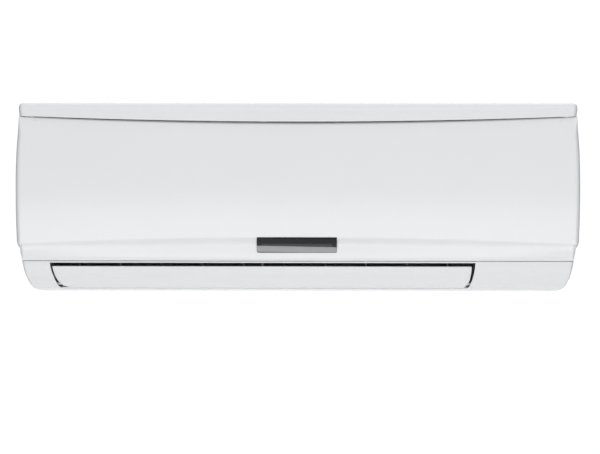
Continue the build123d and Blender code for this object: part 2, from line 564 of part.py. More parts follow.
block = cut(block, *[cyl((296 + 16 * k, -139.0, z), (0, 1, 0), 1.6, 14.0) for k in range(4) for z in (80.0, 96.0)],
            *[cyl((296 + 16 * k, -135.0, z), (0, 1, 0), 2.8, 2.0) for k in range(4) for z in (80.0, 96.0)])
node("terminal_block", block)
node("terminal_screws", Compound(children=ts))
node("cable_clamp", fuse(box(300, 344, -146, -141, 68, 72.5), box(300, 306, -146, -123, 66.0, 68.5), box(338, 344, -146, -123, 66.0, 68.5)))
node("wiring_cover", cut(fuse(box(276, 366, -156.6, -155.0, 66, 112), box(366, 378, -156.6, -155.0, 84, 96)), cyl((372.0, -158, 90.0), (0, 1, 0), 1.7, 6.0)))

# louver motor, on the right-hand wall of the air path
lm = fuse(cyl_x(254.2, 273.0, STEP_Y, STEP_Z, 10.2), box(254.2, 255.4, STEP_Y - 3.0, STEP_Y + 3.0, STEP_Z, STEP_Z + 16.0), box(254.2, 255.4, STEP_Y, STEP_Y + 16.0, STEP_Z - 3.0, STEP_Z + 3.0))
lm = cut(lm, cyl_x(253.0, 264.0, PIVOT_Y, PIVOT_Z, 2.35), cyl_x(253.0, 257.0, STEP_Y, STEP_Z + 13.4, 1.2), cyl_x(253.0, 257.0, STEP_Y + 13.4, STEP_Z, 1.2))
node("louver_motor", lm)
small = []
STEP_SCREWS = ((STEP_Y, STEP_Z + 13.4), (STEP_Y + 13.4, STEP_Z))
for y, z in STEP_SCREWS:
    small.append(fuse(cyl_x(255.4, 257.0, y, z, 2.3), cyl_x(251.7, 255.5, y, z, 1.2)))
small.append(fuse(cyl((372.0, -158.2, 90.0), (0, 1, 0), 2.8, 1.6), cyl((372.0, -156.8, 90.0), (0, 1, 0), 1.5, 5.0)))
node("small_screws", Compound(children=small))
NODES["rear_chassis"] = cut(NODES["rear_chassis"], *[cyl_x(250.0, 255.0, y, z, 1.2) for y, z in STEP_SCREWS])

# display module on the case's lower bar
house = cut(box(-62, 84, -161, -155.0, 46, 76), box(-60, 82, -159.5, -154, 48, 74), box(-52, 50, -162, -159, 52, 71), cyl((72.0, -162, 60.0), (0, 1, 0), 3.06, 4.0))
node("display_housing", house)
board = fuse(box(-59.5, 81.5, -157.0, -155.6, 48.5, 73.5), box(-30, 28, -160.6, -156.9, 55, 70))
node("display_board", board)
node("emergency_button", fuse(cyl((72.0, -162.4, 60.0), (0, 1, 0), 3.0, 3.4), cyl((72.0, -159.4, 60.0), (0, 1, 0), 4.2, 1.0)))

# -------------------------------------------------------------------- louver
def low_point(z):
    """Point on the lower outer curve at height z, and its outward direction."""
    lo, hi = 0.0, 1.0
    for _ in range(40):
        mid = (lo + hi) / 2
        if (low_edge @ mid).Z > z:
            lo = mid
        else:
            hi = mid
    p, t = low_edge @ lo, low_edge % lo
    return (p.Y, p.Z), (t.Y, t.Z)


zs = [34.9, 30.0, 24.0, 18.0, 12.0, 8.0, 5.0]
outer_pts, inner_pts = [], []
for z in zs:
    p, t = low_point(z)
    outer_pts.append(p)
    inner_pts.append((p[0] - t[1] * 2.6, p[1] + t[0] * 2.6))
flap = ex_yz(joined(outer_pts, [outer_pts[-1], inner_pts[-1]], list(reversed(inner_pts))), -346.0, 245.0)
flap_outline = joined(
    [(-345.6, 39.0), (-343.2, 27.0), (-338.6, 15.2), (-333.4, 9.4), (-325.0, 5.7), (-315.0, 3.0)],
    [(-315.0, 3.0), (227.5, 3.0)],
    [(227.5, 3.0), (236.4, 6.8), (241.2, 14.0), (243.8, 26.0), (244.5, 39.0)],
)
flap = common(flap, ex_xz(flap_outline, -170, -100))
web = [(-136.0, 19.6), (-119.5, 14.6), (-115.6, 11.0), (-117.6, 7.8), (-124.4, 11.2)]
flap = cut(flap, cyl_x(-52.4, -46.6, PIVOT_Y, PIVOT_Z, 3.7))
flap = fuse(
    flap,
    plate_yz(web, -332.0, -328.5), cyl_x(-332.0, -328.5, PIVOT_Y, PIVOT_Z, 3.9), cyl_x(-347.6, -330.0, PIVOT_Y, PIVOT_Z, 1.8),
    plate_yz(web, -46.4, -43.0), cyl_x(-46.4, -43.0, PIVOT_Y, PIVOT_Z, 3.9), cyl_x(-52.2, -45.0, PIVOT_Y, PIVOT_Z, 1.5),
    plate_yz(web, 228.0, 232.0), cyl_x(228.0, 233.0, PIVOT_Y, PIVOT_Z, 3.9),
)
node("louver_flap", cut(flap, cyl_x(229.0, 234.0, PIVOT_Y, PIVOT_Z, 2.3)))
node("louver_drive_shaft", cyl_x(229.0, 263.0, PIVOT_Y, PIVOT_Z, 2.3))

# --------------------------------------------------------------------- vanes
N_DIR = (0, -sin(DUCT), cos(DUCT))
VANE = [(40.0, 67.5), (40.0, 79.0), (50.0, 86.5), (58.0, 96.0), (63.0, 106.0), (66.0, 110.6), (68.0, 108.0), (68.3, 63.0), (66.0, 60.2), (51.0, 60.2), (51.0, 67.5)]
for i, x in enumerate(VANE_X):
    blade = plate_yz([duct(d, n) for d, n in VANE], x - 0.8, x + 0.8)
    py, pz = duct(VANE_PIVOT_D, FLOOR_N - 3.2)
    qy, qz = duct(VANE_PIN_D, 62.2)
    v = fuse(blade, cyl((x, py, pz), N_DIR, 1.5, 14.0), cyl((x, qy, qz), N_DIR, 1.3, 9.0))
    node(f"vane_{'left' if i < 5 else 'right'}_{i % 5 + 1}", v)
for side_name, xs in (("left", VANE_X[:5]), ("right", VANE_X[5:])):
    bar_pts = [duct(VANE_PIN_D - 3.0, 63.2), duct(VANE_PIN_D + 3.0, 63.2), duct(VANE_PIN_D + 3.0, 65.6), duct(VANE_PIN_D - 3.0, 65.6)]
    bar = plate_yz(bar_pts, xs[0] - 5.0, xs[-1] + 5.0)
    pins = []
    for x in xs:
        y, z = duct(VANE_PIN_D, 61.0)
        pins.append(cyl((x, y, z), N_DIR, 1.36, 7.0))
    node(f"link_bar_{side_name}", cut(bar, *pins))

# ------------------------------------------------------------------- filters
CURVE = [(-151.6, 64.8), (-151.6, 198.0), (-148.6, 214.0), (-139.0, 230.0), (-124.0, 241.0), (-104.0, 247.0), (-80.0, 249.0)]


def ribbon(d0, d1, start, stop, x0, x1):
    """A thin sheet that follows the filter's bent path, between two offsets from it."""
    def line(d):
        pts = [(y, z) for y, z in CURVE]
        o = shrink(pts, d)
        return o
    a, b = line(d0), line(d1)
    return ex_yz(joined([a[0], a[1]], a[1:], [a[-1], b[-1]], list(reversed(b[1:])), [b[1], b[0]]), x0, x1)


for side_name, xa, xb in (("left", -343.5, -54.6), ("right", -43.4, 245.5)):
    frame = ribbon(0.0, -1.8, 0, 0, xa, xb)
    w = (xb - xa - 8.0) / 3
    rows = [(72.0, 114.0), (117.0, 160.0), (163.0, 206.0)]
    cells = []
    for k in range(3):
        cx0, cx1 = xa + 4.0 + k * w + (1.2 if k else 0), xa + 4.0 + (k + 1) * w - (1.2 if k < 2 else 0)
        for za, zb in rows:
            cells.append(box(cx0, cx1, -160, -148, za, zb))
        cells.append(box(cx0, cx1, -137.0, -84.0, 228.0, 256.0))
    tab = box((xa + xb) / 2 - 16, (xa + xb) / 2 + 16, -156.4, -151.0, 66.8, 70.4)
    frame = fuse(cut(frame, *cells), tab)
    node(f"filter_frame_{side_name}", frame)
    node(f"filter_mesh_{side_name}", cut(ribbon(0.7, 0.05, 0, 0, xa + 1.0, xb - 1.0), box((xa + xb) / 2 - 16, (xa + xb) / 2 + 16, -157, -150.5, 60, 70.4)))

for name, shape in NODES.items():
    export_step(shape.moved(Location((0, 0, -Z_ORIGIN))), f"parts/{name}.step")
print(len(NODES), "nodes")
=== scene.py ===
import json
import math
import random

import bmesh
import bpy
import numpy as np
from mathutils import Matrix, Vector
from mathutils.bvhtree import BVHTree


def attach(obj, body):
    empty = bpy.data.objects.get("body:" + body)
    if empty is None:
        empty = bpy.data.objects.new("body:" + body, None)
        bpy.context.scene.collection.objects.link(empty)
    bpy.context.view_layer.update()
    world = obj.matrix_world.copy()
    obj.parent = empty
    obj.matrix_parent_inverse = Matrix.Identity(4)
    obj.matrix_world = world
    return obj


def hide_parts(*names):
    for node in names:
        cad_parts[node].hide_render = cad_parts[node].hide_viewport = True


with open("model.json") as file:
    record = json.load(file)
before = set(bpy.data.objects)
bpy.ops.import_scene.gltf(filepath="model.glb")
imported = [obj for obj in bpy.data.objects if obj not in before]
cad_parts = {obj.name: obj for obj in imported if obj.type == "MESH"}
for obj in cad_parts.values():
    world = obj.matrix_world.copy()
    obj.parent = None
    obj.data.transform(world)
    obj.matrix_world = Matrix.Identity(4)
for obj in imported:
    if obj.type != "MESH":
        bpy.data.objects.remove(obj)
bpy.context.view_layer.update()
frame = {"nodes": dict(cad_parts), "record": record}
scene = bpy.context.scene
random.seed(7)

# Lengths below are millimetres with heights from the unit's underside, as in the
# part's own source; at() turns them into the row frame in metres.
Z0 = 132.5


def at(x, y, z):
    return (x / 1000.0, y / 1000.0, (z - Z0) / 1000.0)


# ================================================================ materials
def new_material(name):
    m = bpy.data.materials.new(name)
    m.use_nodes = True
    nt = m.node_tree
    nt.nodes.clear()
    out = nt.nodes.new("ShaderNodeOutputMaterial")
    b = nt.nodes.new("ShaderNodeBsdfPrincipled")
    nt.links.new(b.outputs[0], out.inputs[0])
    return m, nt, b


def coords(nt, scale=(1, 1, 1)):
    tc = nt.nodes.new("ShaderNodeTexCoord")
    mp = nt.nodes.new("ShaderNodeMapping")
    mp.inputs["Scale"].default_value = scale
    nt.links.new(tc.outputs["Object"], mp.inputs["Vector"])
    return mp.outputs["Vector"]


def noise(nt, vec, scale, detail=3.0, rough=0.5):
    n = nt.nodes.new("ShaderNodeTexNoise")
    n.inputs["Scale"].default_value = scale
    n.inputs["Detail"].default_value = detail
    n.inputs["Roughness"].default_value = rough
    nt.links.new(vec, n.inputs["Vector"])
    return n.outputs["Fac"]


def ramp(nt, fac, stops):
    r = nt.nodes.new("ShaderNodeValToRGB")
    el = r.color_ramp.elements
    while len(el) < len(stops):
        el.new(0.5)
    for e, (p, c) in zip(el, stops):
        e.position = p
        e.color = (*c, 1) if len(c) == 3 else c
    nt.links.new(fac, r.inputs["Fac"])
    return r.outputs["Color"]


def spread(nt, fac, lo, hi):
    mr = nt.nodes.new("ShaderNodeMapRange")
    mr.inputs["To Min"].default_value = lo
    mr.inputs["To Max"].default_value = hi
    nt.links.new(fac, mr.inputs["Value"])
    return mr.outputs["Result"]


def bump(nt, b, height, strength, distance):
    bp = nt.nodes.new("ShaderNodeBump")
    bp.inputs["Strength"].default_value = strength
    bp.inputs["Distance"].default_value = distance
    nt.links.new(height, bp.inputs["Height"])
    nt.links.new(bp.outputs["Normal"], b.inputs["Normal"])
    return bp


def tint(c, k):
    return tuple(max(0.0, min(1.0, v * k)) for v in c)


def plastic(name, colour, rough, vary=0.02, grain=900.0, grain_depth=0.00002, rough_vary=0.05, ior=1.46, coat=0.0, sss=0.0):
    """Moulded plastic: faint mottling of colour, a roughness that drifts, and a fine moulded grain."""
    m, nt, b = new_material(name)
    v = coords(nt)
    broad = noise(nt, v, 9.0, 4.0)
    nt.links.new(ramp(nt, broad, [(0.3, tint(colour, 1 - vary)), (0.7, tint(colour, 1 + vary))]), b.inputs["Base Color"])
    nt.links.new(spread(nt, noise(nt, v, 42.0, 3.0), rough - rough_vary, rough + rough_vary), b.inputs["Roughness"])
    b.inputs["IOR"].default_value = ior
    if coat:
        b.inputs["Coat Weight"].default_value = coat
        b.inputs["Coat Roughness"].default_value = 0.12
    if sss:
        b.inputs["Subsurface Weight"].default_value = sss
        b.inputs["Subsurface Radius"].default_value = (0.004, 0.004, 0.004)
        b.inputs["Subsurface Scale"].default_value = 0.5
    bump(nt, b, noise(nt, v, grain, 2.0), 0.35, grain_depth)
    return m


def metal(name, colour, rough, axis=0, vary=0.06, streak=700.0, spots=0.0):
    """Metal with fine streaks along one axis and a faint stain of its own colour."""
    m, nt, b = new_material(name)
    scale = [1.0, 1.0, 1.0]
    scale[axis] = 0.03
    fine = noise(nt, coords(nt, tuple(scale)), streak, 3.0)
    stain = noise(nt, coords(nt), 22.0, 5.0, 0.6)
    mix = nt.nodes.new("ShaderNodeMix")
    mix.data_type = "RGBA"
    mix.blend_type = "MULTIPLY"
    mix.inputs["Factor"].default_value = 0.7
    nt.links.new(ramp(nt, stain, [(0.25, tint(colour, 1 - vary * 2)), (0.7, tint(colour, 1 + vary))]), mix.inputs["A"])
    nt.links.new(ramp(nt, fine, [(0.3, (0.86, 0.86, 0.86)), (0.7, (1, 1, 1))]), mix.inputs["B"])
    nt.links.new(mix.outputs["Result"], b.inputs["Base Color"])
    b.inputs["Metallic"].default_value = 1.0
    nt.links.new(spread(nt, fine, rough - 0.06, rough + 0.10), b.inputs["Roughness"])
    bump(nt, b, fine, 0.2, 0.00002)
    return m


def zinc(name):
    """Zinc-coated sheet: large soft crystals in slightly different greys."""
    m, nt, b = new_material(name)
    v = coords(nt)
    vo = nt.nodes.new("ShaderNodeTexVoronoi")
    vo.inputs["Scale"].default_value = 150.0
    nt.links.new(v, vo.inputs["Vector"])
    sep = nt.nodes.new("ShaderNodeSeparateColor")
    nt.links.new(vo.outputs["Color"], sep.inputs["Color"])
    nt.links.new(ramp(nt, sep.outputs["Red"], [(0.0, (0.56, 0.58, 0.60)), (1.0, (0.66, 0.68, 0.70))]), b.inputs["Base Color"])
    b.inputs["Metallic"].default_value = 1.0
    nt.links.new(spread(nt, sep.outputs["Green"], 0.28, 0.44), b.inputs["Roughness"])
    bump(nt, b, noise(nt, v, 300.0, 3.0), 0.2, 0.00002)
    return m


M = {}
M["white_gloss"] = plastic("white_gloss", (0.780, 0.788, 0.800), 0.24, vary=0.006, grain=420.0, grain_depth=0.000004, rough_vary=0.03, coat=0.25)
M["white_satin"] = plastic("white_satin", (0.770, 0.778, 0.790), 0.40, vary=0.012, grain=1300.0)
M["inner_plastic"] = plastic("inner_plastic", (0.70, 0.71, 0.72), 0.52, vary=0.03, grain=900.0, grain_depth=0.00005)
M["vane_plastic"] = plastic("vane_plastic", (0.66, 0.67, 0.68), 0.48, vary=0.03)
M["filter_plastic"] = plastic("filter_plastic", (0.30, 0.36, 0.42), 0.50, vary=0.05)
M["fan_plastic"] = plastic("fan_plastic", (0.085, 0.09, 0.098), 0.46, vary=0.08)
M["motor_resin"] = plastic("motor_resin", (0.05, 0.05, 0.055), 0.55, vary=0.10, grain=500.0, grain_depth=0.00012)
M["black_rubber"] = plastic("black_rubber", (0.022, 0.022, 0.024), 0.74, vary=0.12, grain=700.0, grain_depth=0.00008)
M["component_black"] = plastic("component_black", (0.035, 0.036, 0.042), 0.42, vary=0.12)
M["terminal_ivory"] = plastic("terminal_ivory", (0.66, 0.62, 0.50), 0.36, vary=0.03)
M["zinc_steel"] = zinc("zinc_steel")
M["shaft_steel"] = metal("shaft_steel", (0.60, 0.61, 0.63), 0.26)
M["copper"] = metal("copper", (0.80, 0.42, 0.26), 0.26, vary=0.10, streak=400.0)
M["brass_nut"] = metal("brass_nut", (0.80, 0.62, 0.30), 0.28, vary=0.08)
M["fin_aluminium"] = metal("fin_aluminium", (0.74, 0.76, 0.78), 0.36, axis=2, vary=0.04)


def net_material():
    m, nt, b = new_material("filter_net")
    v = coords(nt)
    nt.links.new(ramp(nt, noise(nt, v, 60.0, 4.0), [(0.3, (0.060, 0.075, 0.090)), (0.7, (0.115, 0.135, 0.155))]), b.inputs["Base Color"])
    nt.links.new(spread(nt, noise(nt, v, 800.0), 0.42, 0.60), b.inputs["Roughness"])
    bump(nt, b, noise(nt, v, 2400.0), 0.3, 0.00003)
    return m


M["filter_net"] = net_material()


def board_material():
    """Solder mask with copper runs faintly seen through it."""
    m, nt, b = new_material("board_green")
    v = coords(nt)
    br = nt.nodes.new("ShaderNodeTexBrick")
    br.inputs["Scale"].default_value = 190.0
    br.inputs["Color1"].default_value = (0.012, 0.082, 0.042, 1)
    br.inputs["Color2"].default_value = (0.010, 0.066, 0.034, 1)
    br.inputs["Mortar"].default_value = (0.026, 0.140, 0.070, 1)
    br.inputs["Mortar Size"].default_value = 0.035
    rot = nt.nodes.new("ShaderNodeMapping")
    rot.inputs["Rotation"].default_value = (math.radians(90), 0, 0)
    nt.links.new(v, rot.inputs["Vector"])
    nt.links.new(rot.outputs["Vector"], br.inputs["Vector"])
    nt.links.new(br.outputs["Color"], b.inputs["Base Color"])
    nt.links.new(spread(nt, noise(nt, v, 120.0), 0.25, 0.36), b.inputs["Roughness"])
    bump(nt, b, br.outputs["Fac"], 0.25, 0.00004)
    return m


M["board_green"] = board_material()


def lens_painted_shade_and_reflection():
    """Smoked acrylic with fine polishing haze; its lower part is painted pale grey as a painted reflection, and its
    upper part near-black as painted shade under the crease.
    """
    m, nt, b = new_material("smoked_window")
    tc = nt.nodes.new("ShaderNodeTexCoord")
    sep = nt.nodes.new("ShaderNodeSeparateXYZ")
    nt.links.new(tc.outputs["Object"], sep.inputs["Vector"])
    lean = nt.nodes.new("ShaderNodeMath")
    lean.operation = "MULTIPLY_ADD"
    lean.inputs[1].default_value = 0.018
    nt.links.new(sep.outputs["X"], lean.inputs[0])
    nt.links.new(sep.outputs["Z"], lean.inputs[2])
    zz = nt.nodes.new("ShaderNodeMapRange")
    zz.inputs["From Min"].default_value = (54.0 - Z0) / 1000.0
    zz.inputs["From Max"].default_value = (75.0 - Z0) / 1000.0
    nt.links.new(lean.outputs[0], zz.inputs["Value"])
    # painted tones: pale grey below as painted reflection, near-black above as painted shade under the crease, blackest
    # at the top edge, a little darker at the very bottom edge
    painted_shade_and_reflection = ramp(nt, zz.outputs["Result"], [
        (0.0, (0.15, 0.154, 0.160)), (0.05, (0.29, 0.296, 0.305)), (0.12, (0.36, 0.367, 0.378)), (0.415, (0.325, 0.332, 0.343)),
        (0.45, (0.026, 0.027, 0.030)), (0.90, (0.010, 0.011, 0.013)), (0.96, (0.002, 0.002, 0.002))])
    mix = nt.nodes.new("ShaderNodeMix")
    mix.data_type = "RGBA"
    mix.blend_type = "MULTIPLY"
    mix.inputs["Factor"].default_value = 1.0
    nt.links.new(painted_shade_and_reflection, mix.inputs["A"])
    v = coords(nt, (0.25, 1, 1))
    nt.links.new(ramp(nt, noise(nt, v, 60.0, 3.0), [(0.3, (0.86, 0.87, 0.88)), (0.7, (1, 1, 1))]), mix.inputs["B"])
    nt.links.new(mix.outputs["Result"], b.inputs["Base Color"])
    nt.links.new(spread(nt, noise(nt, coords(nt), 90.0), 0.05, 0.10), b.inputs["Roughness"])
    b.inputs["IOR"].default_value = 1.34
    bump(nt, b, noise(nt, coords(nt), 300.0), 0.1, 0.000004)
    return m


# the lens's tones are painted shade and painted reflection, not the acrylic's own colour
M["smoked_window"] = lens_painted_shade_and_reflection()

slot_of = {s["node"]: s["material_slot"] for s in frame["record"]["subparts"]}


def dress(obj, slot):
    obj.data.materials.clear()
    obj.data.materials.append(M[slot])
    return obj


# ============================================================ mesh building
def mesh_object(name, verts, faces, slot, body, nodes=(), smooth=True):
    me = bpy.data.meshes.new(name)
    me.from_pydata([tuple(v) for v in verts], [], faces)
    me.validate()
    o = bpy.data.objects.new(name, me)
    scene.collection.objects.link(o)
    finish_mesh(o, smooth)
    dress(o, slot)
    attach(o, body)
    if nodes:
        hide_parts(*nodes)
    return o


def finish_mesh(o, smooth=True):
    bm = bmesh.new()
    bm.from_mesh(o.data)
    bmesh.ops.recalc_face_normals(bm, faces=bm.faces)
    bm.to_mesh(o.data)
    bm.free()
    if smooth:
        for p in o.data.polygons:
            p.use_smooth = True


def smooth_by_angle(o, angle=38.0):
    """Smooth faces, with an edge kept sharp where its two faces turn by more than the angle."""
    bm = bmesh.new()
    bm.from_mesh(o.data)
    for e in bm.edges:
        e.smooth = not (len(e.link_faces) == 2 and e.calc_face_angle(0.0) > math.radians(angle))
    for f in bm.faces:
        f.smooth = True
    bm.to_mesh(o.data)
    bm.free()


def weighted(o):
    w = o.modifiers.new("weighted", "WEIGHTED_NORMAL")
    w.keep_sharp = True
    w.weight = 50
    w.thresh = 0.01


def spline(points, n):
    """n + 1 points along a smooth curve through the given ones."""
    p = np.array(points, float)
    d = np.r_[0, np.cumsum(np.sqrt(np.linalg.norm(np.diff(p, axis=0), axis=1)))]
    m = np.gradient(p, d, axis=0)
    out = []
    for u in np.linspace(0, d[-1], n + 1):
        i = min(max(np.searchsorted(d, u) - 1, 0), len(d) - 2)
        h = d[i + 1] - d[i]
        t = (u - d[i]) / h
        out.append((2 * t**3 - 3 * t**2 + 1) * p[i] + (t**3 - 2 * t**2 + t) * h * m[i] + (3 * t**2 - 2 * t**3) * p[i + 1] + (t**3 - t**2) * h * m[i + 1])
    return np.array(out)


def smax(a, b, k):
    """Larger of two, rounded where they cross."""
    h = max(k - abs(a - b), 0.0) / k
    return max(a, b) + h * h * k * 0.25


def step(t):
    t = min(max(t, 0.0), 1.0)
    return t * t * (3 - 2 * t)


def strip_faces(rows, closed=True):
    """Quads between neighbouring rows of equal length, given as start indices and a length."""
    faces = []
    for (a, n), (b, _) in zip(rows, rows[1:]):
        for i in range(n if closed else n - 1):
            j = (i + 1) % n
            faces.append((a + i, a + j, b + j, b + i))
    return faces


def boolean(o, cutters):
    for c in cutters:
        mod = o.modifiers.new("cut", "BOOLEAN")
        mod.operation = "DIFFERENCE"
        mod.solver = "EXACT"
        mod.object = c
    dg = bpy.context.evaluated_depsgraph_get()
    me = bpy.data.meshes.new_from_object(o.evaluated_get(dg))
    o.modifiers.clear()
    old = o.data
    o.data = me
    bpy.data.meshes.remove(old)
    for c in cutters:
        d = c.data
        bpy.data.objects.remove(c)
        bpy.data.meshes.remove(d)
    return o


def raw(name, verts, faces):
    me = bpy.data.meshes.new(name)
    me.from_pydata([tuple(v) for v in verts], [], faces)
    me.validate()
    o = bpy.data.objects.new(name, me)
    scene.collection.objects.link(o)
    bm = bmesh.new()
    bm.from_mesh(me)
    bmesh.ops.recalc_face_normals(bm, faces=bm.faces)
    bm.to_mesh(me)
    bm.free()
    return o


def prism(name, outline, lo, hi, axis):
    """A cutter: a closed outline in the plane square to axis, pushed from lo to hi along it."""
    n = len(outline)
    pt = {"x": lambda a, b, t: at(t, a, b), "y": lambda a, b, t: at(a, t, b), "z": lambda a, b, t: at(a, b, t)}[axis]
    v = [pt(a, b, lo) for a, b in outline] + [pt(a, b, hi) for a, b in outline]
    f = [tuple(range(n)), tuple(range(n, 2 * n))] + [(i, (i + 1) % n, n + (i + 1) % n, n + i) for i in range(n)]
    return raw(name, v, f)


def rect(x0, x1, z0, z1, r=0.0, n=5):
    if not r:
        return [(x0, z0), (x1, z0), (x1, z1), (x0, z1)]
    out = []
    for cx, cz, a0 in ((x1 - r, z0 + r, -90), (x1 - r, z1 - r, 0), (x0 + r, z1 - r, 90), (x0 + r, z0 + r, 180)):
        for k in range(n + 1):
            a = math.radians(a0 + 90 * k / n)
            out.append((cx + r * math.cos(a), cz + r * math.sin(a)))
    return out


def circle(cy, cz, r, n=40):
    return [(cy + r * math.cos(2 * math.pi * k / n), cz + r * math.sin(2 * math.pi * k / n)) for k in range(n)]


def borrow_normals(o, refs, limit=32.0):
    """Each corner takes the smooth normal of the uncut surface that it lies on, so that cuts leave no marks in the gloss."""
    trees = []
    for r in refs:
        bm = bmesh.new()
        bm.from_mesh(r)
        bmesh.ops.triangulate(bm, faces=bm.faces)
        bm.normal_update()
        bm.verts.ensure_lookup_table()
        bm.faces.ensure_lookup_table()
        nv = [v.normal.copy() for v in bm.verts]
        tv = [[v.index for v in f.verts] for f in bm.faces]
        co = [v.co.copy() for v in bm.verts]
        trees.append((BVHTree.FromBMesh(bm), tv, co, nv))
        bm.free()
    me = o.data
    cosl = math.cos(math.radians(limit))
    normals = [None] * len(me.loops)
    from mathutils.interpolate import poly_3d_calc
    for p in me.polygons:
        fn = p.normal
        for li in p.loop_indices:
            c = me.vertices[me.loops[li].vertex_index].co
            inside = c + (p.center - c) * 0.02
            best = fn
            near = 4e-4
            for tree, tv, co, nv in trees:
                hit, n, idx, dist = tree.find_nearest(inside, near)
                if hit is None:
                    continue
                tri = tv[idx]
                w = poly_3d_calc([co[i] for i in tri], hit)
                sn = (nv[tri[0]] * w[0] + nv[tri[1]] * w[1] + nv[tri[2]] * w[2]).normalized()
                if sn.dot(fn) > cosl:
                    best, near = sn, dist
            normals[li] = best
    for p in me.polygons:
        p.use_smooth = True
    me.normals_split_custom_set([tuple(n) for n in normals])


# ========================================================== shared outlines
HALF_PANEL = 395.0
HINGE = (-156.0, 232.0)
LENS = (-57.0, 55.0, 54.2, 76.0)


def bow(x):
    return max(0.0, 1.0 - (x / HALF_PANEL) ** 2)


def seam_z(x):
    return 245.5 - 8.0 * bow(x)


def crease_z(x):
    return 65.2 + 9.8 * bow(x)


# ================================================================ front case
LOWER = spline([(-98.0, 0.0), (-112.0, 2.0), (-124.0, 7.0), (-136.0, 15.5), (-148.0, 26.0), (-155.5, 36.0), (-158.0, 42.2)], 90)
SIDE_LOW = spline([(361.0, 0.0), (368.6, 1.3), (374.4, 5.0), (378.6, 11.5), (382.2, 20.5), (384.9, 31.0), (386.8, 43.0), (388.8, 60.0)], 90)
CAP = spline([(-172.0, 246.0), (-171.4, 250.5), (-168.8, 256.6), (-162.5, 261.8), (-153.0, 264.5), (-142.0, 265.0)], 60)
SIDE_CAP = spline([(390.0, 246.5), (391.2, 254.0), (391.0, 260.5), (389.6, 263.6), (386.0, 265.0)], 40)


def half_width(z):
    if z <= 60.0:
        return float(np.interp(z, SIDE_LOW[:, 1], SIDE_LOW[:, 0]))
    if z <= 236.0:
        return 388.8 - 0.2 * (z - 60.0) / 176.0
    if z <= 246.5:
        return 388.6 + 1.4 * (z - 236.0) / 10.5
    return float(np.interp(z, SIDE_CAP[:, 1], SIDE_CAP[:, 0]))


def plan_y(x):
    return -170.9 + 4.5 * (x / 384.4) ** 2


LIP = 245.85                                               # the cap's lower edge at its ends


def lip_z(x):
    return LIP - 8.0 * bow(x)


def case_ring(z, yf, yb, r, w=None, cap=False, nx=96, nc=9, ny=7, nb=10, off=0.0, lip=0.0):
    """One level of the case, front edge first, then the right side, back and left side."""
    w = (half_width(z) if w is None else w) - off
    pts = []

    def height(x):
        if not cap:
            return z - lip * bow(x) * 8.0
        return z - 8.0 * bow(x) * (1.0 - step((z - LIP) / 12.0))

    def front(x):
        if not cap or yf is not None:
            y = yf
            return y + off
        h = height(x)
        y = -172.0 if h < 246.0 else float(np.interp(h, CAP[:, 1], CAP[:, 0]))
        y = smax(y, plan_y(x), 3.0)
        e = step((abs(x) / 389.0 - 0.50) / 0.45)
        d = min(max((h - lip_z(x)) / 4.4, 0.0), 1.0)
        y -= 0.75 * e * (1.0 - d)                          # light bevel above the seam, at the ends
        d = min(max((h - lip_z(x)) / 1.3, 0.0), 1.0)
        y += 0.9 * (1.0 - math.sqrt(max(1.0 - (1.0 - d) ** 2, 0.0)))    # small round at the lip
        if off:                                            # the hollow thins the lip, clear of the open panel's top
            y -= 1.9 * (1.0 - min(max((h - lip_z(x)) / 3.4, 0.0), 1.0))
        return y + off
    xs = (w - r) * np.sin(np.linspace(-math.pi / 2, math.pi / 2, nx + 1)) * 0.35 + (w - r) * np.linspace(-1, 1, nx + 1) * 0.65
    for x in xs:
        pts.append((x, front(x), height(x)))
    yc = front(w - r) + r
    for k in range(1, nc + 1):
        a = math.radians(-90 + 90 * k / nc)
        x = w - r + r * math.cos(a)
        pts.append((x, yc + r * math.sin(a), height(x)))
    rb = 1.2
    for k in range(1, ny + 1):
        pts.append((w, yc + (yb - rb - yc) * k / ny, height(w)))
    for k in range(1, 4):
        a = math.radians(90 * k / 3)
        pts.append((w - rb + rb * math.cos(a), yb - rb + rb * math.sin(a), height(w)))
    for k in range(1, nb):
        x = (w - rb) * (1 - 2 * k / nb)
        pts.append((x, yb, height(w)))
    right = pts[nx + 1:nx + 1 + nc + ny + 3]
    for x, y, h in reversed(right):
        pts.append((-x, y, h))
    return pts


def yf_low(z):
    return float(np.interp(z, LOWER[:, 1], LOWER[:, 0]))


